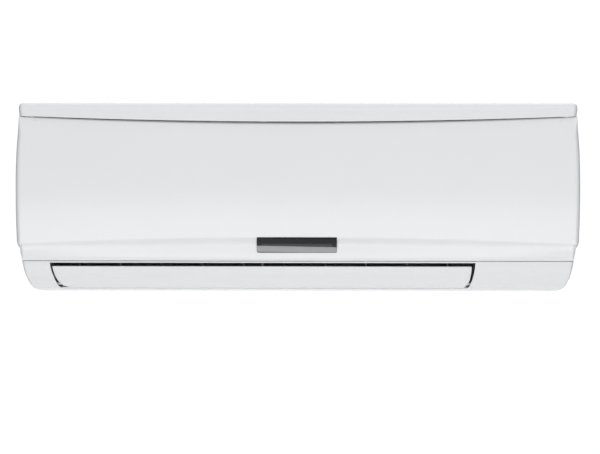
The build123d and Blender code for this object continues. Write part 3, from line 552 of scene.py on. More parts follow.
def case_solid(name, off=0.0, back=None, nx=96):
    """The case's outer form, or the form of its hollow when off is the wall."""
    levels = []
    zl = [0.0, 0.12, 0.4, 0.9, 1.6, 2.5, 3.8, 5.4, 7.2, 9.2, 11.4, 13.8, 16.4, 19.2, 22.2, 25.4, 28.6, 31.8, 34.8, 37.4, 39.6, 40.9]
    if off:
        zl = [off + (z - 0.0) * (39.4 - off) / 40.9 for z in zl]
        for z in zl:
            src = z - off * 0.6 if z < 20 else z - off * 0.25
            levels.append(case_ring(z, yf_low(max(src, 0.0)), back, 3.0, w=half_width(max(z - off * 0.4, 0.0)), off=off, nx=nx))
        levels.append(case_ring(39.8, -155.0, back, 2.0, off=off, nx=nx))
    else:
        for z in zl:
            levels.append(case_ring(z, yf_low(z), -1.5, 4.0, nx=nx))
        for k in range(1, 5):                              # rounded rim over the air outlet
            a = math.radians(22.5 * k)
            levels.append(case_ring(41.4 + 1.2 * math.sin(a), -157.9 + 1.2 * (1 - math.cos(a)), -1.5, 4.0 - 0.6 * k / 4, nx=nx))
        levels.append(case_ring(42.6, -155.0, -1.5, 3.4, nx=nx))
    yb = -1.5 if back is None else back
    for z in (52.0, 60.0, 90.0, 120.0, 150.0, 180.0, 205.0, 222.0, 230.0):
        levels.append(case_ring(z, -155.0, yb, 3.0, off=off, nx=nx))
    if off:
        levels.append(case_ring(236.2, -155.0, yb, 3.0, w=389.6, off=off, lip=1.0, nx=nx))
        levels.append(case_ring(LIP, None, yb, 5.0, w=390.2, cap=True, off=off, nx=nx))
    else:
        levels.append(case_ring(238.4, -155.0, yb, 3.0, w=388.9, lip=0.2, nx=nx))
        levels.append(case_ring(LIP, -155.0, yb, 3.4, w=389.4, lip=1.0, nx=nx))
        levels.append(case_ring(LIP, None, yb, 6.5, w=389.9, cap=True, nx=nx))
    zc = [245.95, 246.15, 246.4, 246.65, 246.9, 247.2, 247.6, 248.0, 248.5, 249.0, 249.6, 250.2, 251.1, 251.9, 252.8, 253.8, 255.0, 256.2, 257.4, 258.5, 259.5, 260.4, 261.2, 261.9, 262.5, 263.05, 263.5, 263.9, 264.22, 264.5, 264.72, 264.88, 264.97, 265.0]
    for z in zc:
        if off:
            yb2 = yb
            levels.append(case_ring(z, None, yb2, 6.0, cap=True, off=off, nx=nx))
            levels[-1] = [(x, y, LIP + (h - LIP) * (262.6 - LIP) / (265.0 - LIP) if h > LIP else h) for x, y, h in levels[-1]]
        else:
            back_y = -1.5 if z < 258.0 else float(np.interp(z, [258.0, 260.5, 262.6, 263.9, 264.6, 265.0], [-1.5, -2.6, -4.6, -7.6, -10.4, -14.0]))
            levels.append(case_ring(z, None, back_y, 6.5, cap=True, nx=nx))
    verts, rows = [], []
    for lv in levels:
        rows.append((len(verts), len(lv)))
        verts += [at(*p) for p in lv]
    faces = strip_faces(rows)
    n = rows[0][1]
    faces.append(tuple(reversed(range(n))))
    faces.append(tuple(range(rows[-1][0], rows[-1][0] + n)))
    return raw(name, verts, faces)


def box_cut(x0, x1, y0, y1, z0, z1, r=0.0):
    """A box cutter whose corners, seen along Y, are rounded."""
    return prism("cutter", rect(x0, x1, z0, z1, r), y0, y1, "y")


OPENING = np.vstack([
    spline([(-348.0, 40.1), (-345.6, 27.0), (-341.4, 14.0), (-337.2, 6.4), (-329.0, 1.8), (-319.0, -1.0)], 30),
    spline([(230.0, -1.0), (239.3, 4.2), (244.2, 12.8), (247.6, 26.0), (249.3, 40.1)], 30)])
SCREW_X = (-280.0, -49.0, 182.0)


def build_case():
    o = case_solid("case_shell")
    hollow = case_solid("case_hollow", off=2.4, back=6.0, nx=40)
    refs = [o.data.copy(), hollow.data.copy()]
    refs[1].flip_normals()
    o = boolean(o, [hollow])
    cut = [
        prism("cutter", [tuple(p) for p in OPENING], -190, -115.0, "y"),
        box_cut(-345, -54, -160, -150, 66, 216, 4.0), box_cut(-44, 247, -160, -150, 66, 216, 4.0),
        box_cut(280, 362, -160, -150, 70, 108, 3.0),
        box_cut(365.0, 377.9, -160, -150, 226.0, 240.6), box_cut(-377.9, -365.0, -160, -150, 226.0, 240.6),
        prism("cutter", rect(-372, 372, -138, -22, 3.0), 258.0, 268.0, "z"),
        prism("cutter", [(-400, -48), (400, -48), (400, 10), (-400, 10)], -3.0, 14.0, "z"),
        prism("cutter", circle(-156.0, 232.0, 15.9, 48), 376.0, 397.0, "x"),
        prism("cutter", circle(-156.0, 232.0, 15.9, 48), -397.0, -376.0, "x"),
    ]
    cut += [prism("cutter", circle(x, -88.0, 4.0, 28), -3.0, 3.4, "z") for x in SCREW_X]
    cut.append(prism("cutter", circle(372.0, 90.0, 1.5, 20), -160.0, -150.0, "y"))
    o = boolean(o, cut)
    bm = bmesh.new()
    bm.from_mesh(o.data)
    bmesh.ops.remove_doubles(bm, verts=bm.verts, dist=2e-6)
    bmesh.ops.dissolve_degenerate(bm, edges=bm.edges, dist=2e-6)
    bmesh.ops.holes_fill(bm, edges=[e for e in bm.edges if len(e.link_faces) == 1], sides=0)
    bm.to_mesh(o.data)
    bm.free()
    borrow_normals(o, refs)
    parts = [o]
    for s in (-1, 1):                                      # eyes for the panel's pins, on webs from the front wall
        a, b = sorted((s * 370.2, s * 374.2))
        parts.append(rounded_prism([(-153.0, 217.0), (-159.9, 229.6), (-156.6, 227.6), (-152.7, 226.4)], a, b, 0.3))
        parts.append(lathe([(2.05, a + 0.3), (2.3, a), (4.5, a), (4.8, a + 0.3), (4.8, b - 0.3), (4.5, b), (2.3, b), (2.05, b - 0.3)], HINGE, "x"))
    for x in SCREW_X:                                      # screw bosses, sunk for the heads and their caps
        parts.append(lathe([(4.0, 1.0), (6.0, 1.0), (6.0, 5.7), (5.7, 6.0), (2.0, 6.0), (1.7, 5.7), (1.7, 3.5), (4.0, 3.5)], (x, -88.0), "z"))
    parts.append(rounded_prism([(-140.4, 240.0), (-139.0, 240.0), (-138.9, 262.9), (-140.3, 262.9)], -374.0, 374.0, 0.3))    # web behind the lip
    return join(parts, "front_case_skin", "white_gloss", "frame", "front_case")


# =============================================================== front panel
def pchip(xs, ys):
    """Smooth interpolation through knots that never overshoots them."""
    xs, ys = np.array(xs, float), np.array(ys, float)
    h, d = np.diff(xs), np.diff(ys) / np.diff(xs)
    m = np.zeros(len(xs))
    for i in range(1, len(xs) - 1):
        if d[i - 1] * d[i] > 0:
            w1, w2 = 2 * h[i] + h[i - 1], h[i] + 2 * h[i - 1]
            m[i] = (w1 + w2) / (w1 / d[i - 1] + w2 / d[i])
    m[0], m[-1] = d[0], d[-1]

    def f(x):
        i = min(max(int(np.searchsorted(xs, x)) - 1, 0), len(xs) - 2)
        t = (x - xs[i]) / h[i]
        return (2 * t**3 - 3 * t**2 + 1) * ys[i] + (t**3 - 2 * t**2 + t) * h[i] * m[i] + (3 * t**2 - 2 * t**3) * ys[i + 1] + (t**3 - t**2) * h[i] * m[i + 1]
    return f


PANEL_SIDE = np.vstack([
    spline([(386.6, 43.0), (387.2, 48.0), (388.4, 56.0), (389.2, 63.6)], 24)[:-1],
    spline([(389.2, 63.6), (390.4, 64.6), (392.0, 66.0), (393.4, 70.0)], 16)[:-1],
    spline([(393.4, 70.0), (394.4, 100.0), (394.9, 130.0), (395.0, 160.0), (394.0, 200.0), (391.6, 236.0), (391.2, 242.0), (390.2, 246.0)], 60)])


def panel_half(z):
    return min(float(np.interp(z, PANEL_SIDE[:, 1], PANEL_SIDE[:, 0])), 394.98)


PROFILES = {}


def panel_y(x, z):
    b, zc, zt = bow(x), crease_z(x), seam_z(x)
    yc, yt = 170.0 + 3.0 * b, 163.5 + 3.0 * b
    if z >= zc:
        t = (z - zc) / (zt - zc)
        y = yc * (1 - t) + yt * t + 7.0 * 4 * t * (1 - t)
        soft = (z - zc) / 1.6                              # small round on the crease
        if soft < 1.0:
            y -= 0.42 * (1.0 - soft) ** 2
        return -y + 0.03
    key = round(b, 3)
    if key not in PROFILES:
        deep = 1.5 + 5.0 * b
        PROFILES[key] = pchip([0.0, 0.05, 0.14, 0.32, 0.6, 0.86, 1.0],
                              [yc - 0.42, yc - 0.42 - 0.22 * deep, yc - 0.72 * deep, yc - deep, yc - deep - 0.2 - 1.6 * (1 - b), 164.4 + 1.4 * b, 161.0 + 3.0 * b])
    u = (zc - z) / (zc - 43.0)
    return -PROFILES[key](min(max(u, 0.0), 1.0))


def build_panel():
    """Front skin as a grid, rolled over at its edges, with side walls, a rim and an inner face."""
    R = 1.6
    nx, back, wall = 150, -157.0, 2.4
    s_cols = 0.25 * np.sin(np.linspace(-math.pi / 2, math.pi / 2, nx + 1)) + 0.75 * np.linspace(-1, 1, nx + 1)
    t_low = [0.0, 0.03, 0.07, 0.11, 0.15, 0.2, 0.27, 0.35, 0.43, 0.5, 0.57, 0.63, 0.68, 0.73, 0.77, 0.81, 0.845, 0.875, 0.90, 0.925, 0.945, 0.96, 0.972, 0.982, 0.99, 0.996, 1.0]
    t_up = [0.002, 0.005, 0.009, 0.015, 0.025, 0.04, 0.06] + list(np.linspace(0.09, 0.93, 26)) + [0.95, 0.965, 0.98, 0.99, 1.0]

    def top_round(x):
        return R + 4.8 * bow(x)

    def low_round(x):
        return 0.55 + (R - 0.55) * step((abs(x) - 100.0) / 240.0)

    def side_round(z):
        return R + 2.6 * step((z - 44.0) / 8.0) * step((243.0 - z) / 20.0) + 2.8 * step((z - 52.0) / 26.0) * step((238.0 - z) / 26.0)

    def grid(inset, lo, hi, dy):
        pts = []
        for region, ts in (("low", t_low), ("up", t_up)):
            for t in ts:
                row = []
                for s in s_cols:
                    x = s * 390.0
                    for _ in range(3):
                        zc = crease_z(x)
                        z = (43.2 + lo(x)) + (zc - 43.2 - lo(x)) * t if region == "low" else zc + (seam_z(x) - hi(x) - zc) * t
                        x = s * (panel_half(z) - (side_round(z) if inset == R else inset))
                    row.append((x, panel_y(x, z) + dy, z))
                pts.append(row)
        return pts
    front = grid(R, low_round, top_round, 0.0)
    inner = grid(wall + 0.4, lambda x: wall + 0.4, lambda x: wall + 0.4, wall)
    nr, nc = len(front), len(front[0])

    def border(g):
        return [(0, c) for c in range(nc)] + [(r, nc - 1) for r in range(1, nr)] + [(nr - 1, c) for c in range(nc - 2, -1, -1)] + [(r, 0) for r in range(nr - 2, 0, -1)]
    loop = border(front)
    nl = len(loop)
    verts = [p for row in front for p in row]
    faces = [(r * nc + c, r * nc + c + 1, (r + 1) * nc + c + 1, (r + 1) * nc + c) for r in range(nr - 1) for c in range(nc - 1)]
    last = [r * nc + c for r, c in loop]
    edge = [np.array(front[r][c]) for r, c in loop]
    outs, radii = [], []
    for i, (r, c) in enumerate(loop):
        a, b = edge[i - 1], edge[(i + 1) % nl]
        d = np.array([b[0] - a[0], b[2] - a[2]])
        outs.append(np.array([d[1], -d[0]]) / (np.linalg.norm(d) + 1e-9))
        radii.append(low_round(edge[i][0]) if r == 0 else top_round(edge[i][0]) if r == nr - 1 else side_round(edge[i][2]))
    for (r, c), i in zip(loop, range(nl)):               # corners point out along both sides
        if r in (0, nr - 1) and c in (0, nc - 1):
            outs[i] = np.array([1.0 if c else -1.0, 1.0 if r else -1.0]) * 0.9

    def add(ring, prev):
        base = len(verts)
        verts.extend(ring)
        cur = list(range(base, base + nl))
        for i in range(nl):
            j = (i + 1) % nl
            faces.append((prev[i], prev[j], cur[j], cur[i]))
        return cur
    for k in range(1, 9):                                  # rolled edge
        a = math.radians(11.25 * k)
        ring = [(e[0] + n[0] * q * math.sin(a), e[1] + q * (1 - math.cos(a)), e[2] + n[1] * q * math.sin(a)) for e, n, q in zip(edge, outs, radii)]
        last = add(ring, last)
    outer = [np.array(v) for v in ring]
    last = add([(p[0], (p[1] + back) / 2, p[2]) for p in outer], last)
    last = add([(p[0], back - 0.5, p[2]) for p in outer], last)
    last = add([(p[0] - n[0] * 0.4, back, p[2] - n[1] * 0.4) for p, n in zip(outer, outs)], last)
    last = add([(p[0] - n[0] * (wall - 0.3), back, p[2] - n[1] * (wall - 0.3)) for p, n in zip(outer, outs)], last)
    last = add([(p[0] - n[0] * wall, back - 0.4, p[2] - n[1] * wall) for p, n in zip(outer, outs)], last)
    inn = [np.array(inner[r][c]) for r, c in loop]
    last = add([(p[0] - n[0] * wall, min(back - 1.0, q[1] + 0.8), p[2] - n[1] * wall) for p, n, q in zip(outer, outs, inn)], last)
    base = len(verts)
    verts += [p for row in inner for p in row]
    cur = [base + r * nc + c for r, c in loop]
    for i in range(nl):
        j = (i + 1) % nl
        faces.append((last[i], last[j], cur[j], cur[i]))
    faces += [(base + r * nc + c, base + (r + 1) * nc + c, base + (r + 1) * nc + c + 1, base + r * nc + c + 1) for r in range(nr - 1) for c in range(nc - 1)]
    o = raw("panel_shell", [at(*p) for p in verts], faces)
    ref = o.data.copy()
    wx0, wx1, wz0, wz1 = LENS
    hole = []
    for cx, cz, r, a0 in ((wx1 - 2.2, wz0 + 2.2, 2.2, -90), (wx1 - 0.5, wz1 - 0.5, 0.5, 0), (wx0 + 0.5, wz1 - 0.5, 0.5, 90), (wx0 + 2.2, wz0 + 2.2, 2.2, 180)):
        for k in range(6):
            a = math.radians(a0 + 18 * k)
            hole.append((cx + (r + 0.12) * math.cos(a), cz + (r + 0.12) * math.sin(a)))
    cut = [prism("cutter", hole, -185.0, -158.5, "y")]
    for s in (-1, 1):
        cut.append(prism("cutter", rect(min(s * 385.8, s * 396.0), max(s * 385.8, s * 396.0), 64.25, 65.15), -185.0, -166.2, "y"))
    o = boolean(o, cut)
    bm = bmesh.new()
    bm.from_mesh(o.data)
    bmesh.ops.remove_doubles(bm, verts=bm.verts, dist=2e-6)
    bmesh.ops.dissolve_degenerate(bm, edges=bm.edges, dist=2e-6)
    bm.to_mesh(o.data)
    bm.free()
    borrow_normals(o, [ref], 40.0)
    parts = [o]
    for s in (-1, 1):                                      # hinge plates, pins and the discs that close the side notches
        a, b = sorted((s * 366.0, s * 369.0))
        parts.append(rounded_prism([(-165.6, 223.0), (-165.6, 239.4), (-156.0, 236.3), (-156.0, 227.7)], a, b, 0.4))
        parts.append(rounded_prism(circle(*HINGE, 4.4, 40), a, b, 0.4))
        a, b = sorted((s * 368.5, s * 377.0))
        parts.append(rounded_prism(circle(*HINGE, 2.0, 28), a, b, 0.4))
        a, b = sorted((s * 389.0, s * 391.1))
        disc = [p for p in circle(*HINGE, 15.2, 96) if p[0] > -162.5]
        k = next(i for i in range(len(disc)) if abs(disc[i][1] - disc[i - 1][1]) > 20)
        parts.append(rounded_prism(disc[k:] + disc[:k], a, b, 0.35))
    return join(parts, "front_panel_skin", "white_gloss", "panel", "front_panel")


# ================================================================ louver flap
FLAP_LEFT = spline([(-315.0, 3.0), (-325.0, 5.7), (-333.4, 9.4), (-338.6, 15.2), (-343.2, 27.0), (-345.6, 39.0)], 60)
FLAP_RIGHT = spline([(227.5, 3.0), (236.4, 6.8), (241.2, 14.0), (243.8, 26.0), (244.5, 39.0)], 60)
PIVOT = (-118.5, 10.5)


def flap_side(z, side):
    t = FLAP_LEFT if side < 0 else FLAP_RIGHT
    return float(np.interp(z, t[:, 1], t[:, 0]))


def build_flap():
    """A bent slab with rounded edges all round, on three webs with pins."""
    H, TOP, LOW = 1.3, 34.4, 4.1
    low = LOWER[::-1]                                     # from the top down
    keep = [p for p in low if LOW <= p[1] <= TOP]
    pts = [(float(np.interp(-TOP, -low[:, 1], low[:, 0])), TOP)] + [tuple(p) for p in keep] + [(float(np.interp(-LOW, -low[:, 1], low[:, 0])), LOW)]
    pts = np.array(pts)
    d = np.r_[0, np.cumsum(np.linalg.norm(np.diff(pts, axis=0), axis=1))]
    L = d[-1]
    us = np.r_[np.linspace(H, L - H, 34)]
    mid, nrm, tan = [], [], []
    for u in us:
        y, z = np.interp(u, d, pts[:, 0]), np.interp(u, d, pts[:, 1])
        y2, z2 = np.interp(u + 0.8, d, pts[:, 0]), np.interp(u + 0.8, d, pts[:, 1])
        y1, z1 = np.interp(u - 0.8, d, pts[:, 0]), np.interp(u - 0.8, d, pts[:, 1])
        t = np.array([y2 - y1, z2 - z1])
        t /= np.linalg.norm(t)
        n = np.array([t[1], -t[0]])                       # outward, to the front and below
        mid.append(np.array([y, z]) - n * H)
        nrm.append(n)
        tan.append(t)

    def section(h):
        """Loop round the slab for half thickness h: outside going down, then back up inside."""
        out = [m + n * h for m, n in zip(mid, nrm)]
        for k in range(1, 8):
            a = math.pi * k / 8
            out.append(mid[-1] + nrm[-1] * h * math.cos(a) + tan[-1] * (h * math.sin(a) + (H - h) * 0))
        out += [m - n * h for m, n in reversed(list(zip(mid, nrm)))]
        for k in range(1, 8):
            a = math.pi * k / 8
            out.append(mid[0] - nrm[0] * h * math.cos(a) - tan[0] * h * math.sin(a))
        return out
    verts, rows = [], []
    near = [0.0, 0.1, 0.3, 0.6, 0.95, H]
    for side in (-1, 1):
        seq = near if side < 0 else near[::-1]
        for s0 in seq:
            h = math.sqrt(max(H * H - (H - s0) ** 2, 0.02))
            rows.append((len(verts), None))
            for y, z in section(h):
                zz = min(max(z, 3.2), 38.9)
                verts.append((flap_side(zz, side) - side * s0, y, z))
        if side < 0:
            base = rows[-1][0]
            n = len(verts) - base
            left = verts[base:]
            sec = section(H)
            for f in np.linspace(0, 1, 34)[1:-1]:
                rows.append((len(verts), None))
                for (x0, y, z), (yy, zz) in zip(left, sec):
                    zc = min(max(z, 3.2), 38.9)
                    x1 = flap_side(zc, 1) - H
                    verts.append((x0 + (x1 - x0) * f, yy, zz))
    n = rows[1][0] - rows[0][0]
    rows = [(a, n) for a, _ in rows]
    faces = strip_faces(rows)
    faces.append(tuple(reversed(range(n))))
    faces.append(tuple(range(rows[-1][0], rows[-1][0] + n)))
    o = raw("flap", [at(*p) for p in verts], faces)
    ref = o.data.copy()
    o = boolean(o, [prism("cutter", circle(*PIVOT, 3.7, 40), -52.4, -46.6, "x")])
    borrow_normals(o, [ref], 40.0)
    parts = [o]
    web = [(-136.0, 19.6), (-119.5, 14.6), (-115.6, 11.0), (-117.6, 7.8), (-124.4, 11.2)]
    for x0, x1 in ((-332.0, -328.5), (-46.4, -43.0), (228.0, 232.0)):
        parts.append(rounded_prism(web, x0, x1, 0.5))
        parts.append(rounded_prism(circle(*PIVOT, 3.9, 40), x0, x1, 0.4))
    parts.append(rounded_prism(circle(*PIVOT, 1.8, 28), -347.6, -330.0, 0.4))
    parts.append(rounded_prism(circle(*PIVOT, 1.5, 28), -52.2, -45.0, 0.4))
    return join(parts, "louver_flap_skin", "white_gloss", "louver", "louver_flap")


def rounded_prism(outline, x0, x1, r, axis="x", sharp=38.0):
    """A prism whose end rims, and whose corners, are rounded by r."""
    o = prism("piece", outline, x0, x1, axis)
    bm = bmesh.new()
    bm.from_mesh(o.data)
    es = [e for e in bm.edges if len(e.link_faces) == 2 and e.calc_face_angle(0.0) > math.radians(sharp)]
    bmesh.ops.bevel(bm, geom=es, offset=r / 1000.0, segments=2, profile=0.5, affect="EDGES", clamp_overlap=True)
    bm.to_mesh(o.data)
    bm.free()
    smooth_by_angle(o, 50.0)
    return o


def lathe(profile, centre, axis, n=40):
    """A closed ring: a profile of (radius, height) turned about an axis through centre."""
    verts, rows = [], []
    for r, h in profile:
        rows.append((len(verts), n))
        for k in range(n):
            t = 2 * math.pi * k / n
            a, b = centre[0] + r * math.cos(t), centre[1] + r * math.sin(t)
            verts.append(at(h, a, b) if axis == "x" else at(a, h, b) if axis == "y" else at(a, b, h))
    o = raw("ring", verts, strip_faces(rows + [rows[0]]))
    smooth_by_angle(o, 40.0)
    return o


def join(parts, name, slot, body, *nodes):
    """Several meshes as one piece, with their own corner normals kept."""
    verts, faces, normals, smooth = [], [], [], []
    for o in parts:
        base = len(verts)
        me = o.data
        verts += [tuple(v.co) for v in me.vertices]
        nn = [tuple(c.vector) for c in me.corner_normals]
        for p in me.polygons:
            faces.append(tuple(base + me.loops[i].vertex_index for i in p.loop_indices))
            normals += [nn[i] for i in p.loop_indices]
            smooth.append(True)
    me = bpy.data.meshes.new(name)
    me.from_pydata(verts, [], faces)
    me.polygons.foreach_set("use_smooth", smooth)
    me.normals_split_custom_set(normals)
    for o in parts:
        d = o.data
        bpy.data.objects.remove(o)
        bpy.data.meshes.remove(d)
    o = bpy.data.objects.new(name, me)
    scene.collection.objects.link(o)
    dress(o, slot)
    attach(o, body)
    if nodes:
        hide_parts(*nodes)
    return o


# ============================================================== display window
def build_window():
    """Lens set in the panel: it follows the recess, with a small round at its rim."""
    x0, x1, z0, z1 = LENS
    back, proud = -161.6, 0.02

    def outline(inset):
        pts = []
        for cx, cz, r, a0, n in ((x1 - 2.2, z0 + 2.2, 2.2, -90, 8), (x1 - 0.5, z1 - 0.5, 0.5, 0, 3), (x0 + 0.5, z1 - 0.5, 0.5, 90, 3), (x0 + 2.2, z0 + 2.2, 2.2, 180, 8)):
            r2 = max(r - inset, 0.05)
            for k in range(n + 1):
                a = math.radians(a0 + 90.0 * k / n)
                ccx = cx + (r - inset - r2) * (1 if cx > 0 else -1)
                ccz = cz + (r - inset - r2) * (1 if cz > 64 else -1)
                pts.append((ccx + r2 * math.cos(a), ccz + r2 * math.sin(a)))
        return pts
    verts, faces = [], []
    loops = [(back, outline(0.1)), (-163.0, outline(0.1))]
    for y, o in loops:
        verts += [(x, y, z) for x, z in o]
    m = len(loops[0][1])
    for inset, d in ((0.08, 0.22), (0.10, 0.12), (0.16, 0.04), (0.25, 0.0)):
        verts += [(x, panel_y(x, z) - proud + d, z) for x, z in outline(inset)]
    rings = [(i * m, m) for i in range(6)]
    faces += strip_faces(rings)
    faces.append(tuple(reversed(range(m))))
    me = bpy.data.meshes.new("lens")
    bm = bmesh.new()
    bv = [bm.verts.new(at(*v)) for v in verts]
    for f in faces:
        bm.faces.new([bv[i] for i in f])
    # fill the face: concentric rings shrinking towards a line along X
    last = outline(0.25)
    ids = list(range(5 * m, 6 * m))
    cz0 = (z0 + z1) / 2
    for step_in in (1.4, 2.8, 4.2, 5.8, 7.4, 9.0, 10.0):
        ring = []
        for x, z in last:
            f = max(0.0, 1.0 - (step_in - 0.25) / ((z1 - z0) / 2 - 0.25))
            hx = (x1 - x0) / 2
            cx = (x0 + x1) / 2
            xx = cx + (x - cx) * (1 - step_in / hx)
            zz = cz0 + (z - cz0) * f
            ring.append(bm.verts.new(at(xx, panel_y(xx, zz) - proud, zz)))
        prev = [bv[i] for i in ids] if isinstance(ids[0], int) else ids
        for i in range(m):
            j = (i + 1) % m
            bm.faces.new([prev[i], prev[j], ring[j], ring[i]])
        ids = ring
    bm.faces.new(ids)
    bmesh.ops.recalc_face_normals(bm, faces=bm.faces)
    bm.to_mesh(me)
    bm.free()
    o = bpy.data.objects.new("display_lens", me)
    scene.collection.objects.link(o)
    smooth_by_angle(o, 45.0)
    dress(o, "smoked_window")
    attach(o, "panel")
    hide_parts("display_window")
    return o


case = build_case()
panel = build_panel()
flap = build_flap()
window = build_window()

# ============================================================== heat exchanger
SLABS = [((-138.0, 68.0), (-138.0, 134.0), 3), ((-136.0, 141.0), (-94.0, 218.0), 4), ((-36.0, 160.0), (-74.0, 216.0), 3)]


def build_fins(pitch=1.55, thick=0.14):
    """Three stacks of thin plates with clipped corners and a lightly waved leading edge."""
    verts, faces = [], []
    rng = random.Random(11)
    for (py, pz), (qy, qz), n_tubes in SLABS:
        L = math.hypot(qy - py, qz - pz)
        u = ((qy - py) / L, (qz - pz) / L)
        v = (-u[1], u[0])
        for k in range(n_tubes * 2):                       # the plates' collars, drawn over the tubes end to end
            a, b = L * (k // 2 + 0.5) / n_tubes, 6.0 if k % 2 else -6.0
            cy, cz = py + u[0] * a + v[0] * b, pz + u[1] * a + v[1] * b
            rings = []
            for xx, rr in ((-329.6, 4.05), (-329.2, 3.72), (225.0, 3.72), (225.4, 4.05), (225.4, 3.56), (-329.6, 3.56)):
                rings.append((len(verts), 18))
                verts += [at(xx, cy + rr * math.cos(math.pi * j / 9), cz + rr * math.sin(math.pi * j / 9)) for j in range(18)]
            faces += strip_faces(rings + [rings[0]])
        teeth = max(3, int(round(L / 5.5)))
        side = []
        for k in range(teeth * 2 + 1):
            a = 0.6 + (L - 1.2) * k / (teeth * 2)
            side.append((a, 10.9 if k % 2 else 10.45))
        outline = [(a, b) for a, b in side] + [(a, -b) for a, b in reversed(side)]
        n = len(outline)
        x = -329.9
        while x < 225.8:
            lean = rng.uniform(-0.05, 0.05)
            base = len(verts)
            for t in (0.0, thick):
                for a, b in outline:
                    verts.append(at(x + t + lean * (b / 11.0), py + u[0] * a + v[0] * b, pz + u[1] * a + v[1] * b))
            faces.append(tuple(base + i for i in reversed(range(n))))
            faces.append(tuple(base + n + i for i in range(n)))
            faces += [(base + i, base + (i + 1) % n, base + n + (i + 1) % n, base + n + i) for i in range(n)]
            x += pitch
    return mesh_object("evaporator_fin_plates", verts, faces, "fin_aluminium", "frame", ("evaporator_fins",), smooth=False)


# ============================================================== filter nets
FILTER_PATH = [(-151.6, 198.0), (-148.6, 214.0), (-139.0, 230.0), (-124.0, 241.0), (-104.0, 247.0), (-80.0, 249.0)]


def build_net(side, xa, xb, pitch=1.35, r=0.19):
    """Crossing threads bonded at every crossing, along the filter's bent path."""
    bend = spline(FILTER_PATH, 30)
    path = [np.array((-151.6, z)) for z in (66.0, 110.0, 154.0, 190.0)] + [np.array(p) for p in bend]
    d = np.r_[0, np.cumsum([np.linalg.norm(b - a) for a, b in zip(path, path[1:])])]
    P = np.array(path)

    def on(u):
        a, b = np.array([np.interp(u - 0.6, d, P[:, i]) for i in (0, 1)]), np.array([np.interp(u + 0.6, d, P[:, i]) for i in (0, 1)])
        t = (b - a) / np.linalg.norm(b - a)
        return np.array([np.interp(u, d, P[:, i]) for i in (0, 1)]), np.array([-t[1], t[0]])
    verts, faces = [], []
    total = d[-1] - 1.0
    stops = [0.0, 40.0, 80.0, 120.0] + list(np.linspace(130.0, total, 26))
    frames = [on(max(u, 0.7)) for u in stops]
    x = xa + 2.0
    while x < xb - 1.9:
        base = len(verts)
        for c, nrm in frames:
            for k in range(4):
                a = math.pi / 4 + math.pi / 2 * k
                q = c + nrm * (0.26 + r * math.sin(a))
                verts.append(at(x + r * math.cos(a), q[0], q[1]))
        m = len(frames)
        for i in range(m - 1):
            for k in range(4):
                j = (k + 1) % 4
                faces.append((base + i * 4 + k, base + i * 4 + j, base + i * 4 + 4 + j, base + i * 4 + 4 + k))
        faces.append(tuple(base + k for k in reversed(range(4))))
        faces.append(tuple(base + (m - 1) * 4 + k for k in range(4)))
        x += pitch
    u = 1.2
    while u < total - 0.5:
        c, nrm = on(u)
        t = np.array([nrm[1], -nrm[0]])
        base = len(verts)
        for xx in (xa + 1.2, xb - 1.2):
            for k in range(4):
                a = math.pi / 4 + math.pi / 2 * k
                q = c + nrm * (0.44 + r * math.sin(a)) + t * (r * math.cos(a))
                verts.append(at(xx, q[0], q[1]))
        for k in range(4):
            j = (k + 1) % 4
            faces.append((base + k, base + j, base + 4 + j, base + 4 + k))
        faces.append(tuple(base + k for k in reversed(range(4))))
        faces.append(tuple(base + 4 + k for k in range(4)))
        u += pitch
    return mesh_object("filter_net_" + side, verts, faces, "filter_net", "filter_" + side, ("filter_mesh_" + side,), smooth=False)


fins = build_fins()
net_left = build_net("left", -343.5, -54.6)
net_right = build_net("right", -43.4, 245.5)

# ======================================================== carried-over nodes
for name, o in frame["nodes"].items():
    o.data.materials.clear()
    o.data.materials.append(M[slot_of[name]])

# ============================================================ stage and light
floor_me = bpy.data.meshes.new("floor")
n = 96
floor_v = [(0.98 * math.cos(2 * math.pi * k / n), 0.98 * math.sin(2 * math.pi * k / n) - 0.08, -0.74) for k in range(n)]
floor_me.from_pydata(floor_v, [], [tuple(range(n))])
floor = bpy.data.objects.new("floor", floor_me)
scene.collection.objects.link(floor)
fm, fnt, fb = new_material("floor_pale")
fnt.links.new(ramp(fnt, noise(fnt, coords(fnt), 3.0), [(0.3, (0.90, 0.90, 0.90)), (0.7, (0.93, 0.93, 0.93))]), fb.inputs["Base Color"])
fb.inputs["Roughness"].default_value = 0.8
fb.inputs["Emission Color"].default_value = (1, 1, 1, 1)                                # lit from within, like a light table
fb.inputs["Emission Strength"].default_value = 0.24
floor.data.materials.append(fm)

world = bpy.data.worlds.new("studio")
scene.world = world
world.use_nodes = True
wn = world.node_tree
wn.nodes.clear()
w_out = wn.nodes.new("ShaderNodeOutputWorld")
w_bg = wn.nodes.new("ShaderNodeBackground")
wn.links.new(w_bg.outputs[0], w_out.inputs[0])
w_tc = wn.nodes.new("ShaderNodeTexCoord")
w_sep = wn.nodes.new("ShaderNodeSeparateXYZ")
wn.links.new(w_tc.outputs["Generated"], w_sep.inputs[0])


def w_math(op, a, b=None, c=None):
    m = wn.nodes.new("ShaderNodeMath")
    m.operation = op
    for i, v in enumerate((a, b, c)):
        if v is None:
            continue
        if isinstance(v, (int, float)):
            m.inputs[i].default_value = v
        else:
            wn.links.new(v, m.inputs[i])
    return m.outputs[0]


def w_range(v, a, b, lo, hi, smooth=True):
    r = wn.nodes.new("ShaderNodeMapRange")
    if smooth:
        r.interpolation_type = "SMOOTHSTEP"
    for k, val in (("From Min", a), ("From Max", b), ("To Min", lo), ("To Max", hi)):
        r.inputs[k].default_value = val
    wn.links.new(v, r.inputs["Value"])
    return r.outputs["Result"]


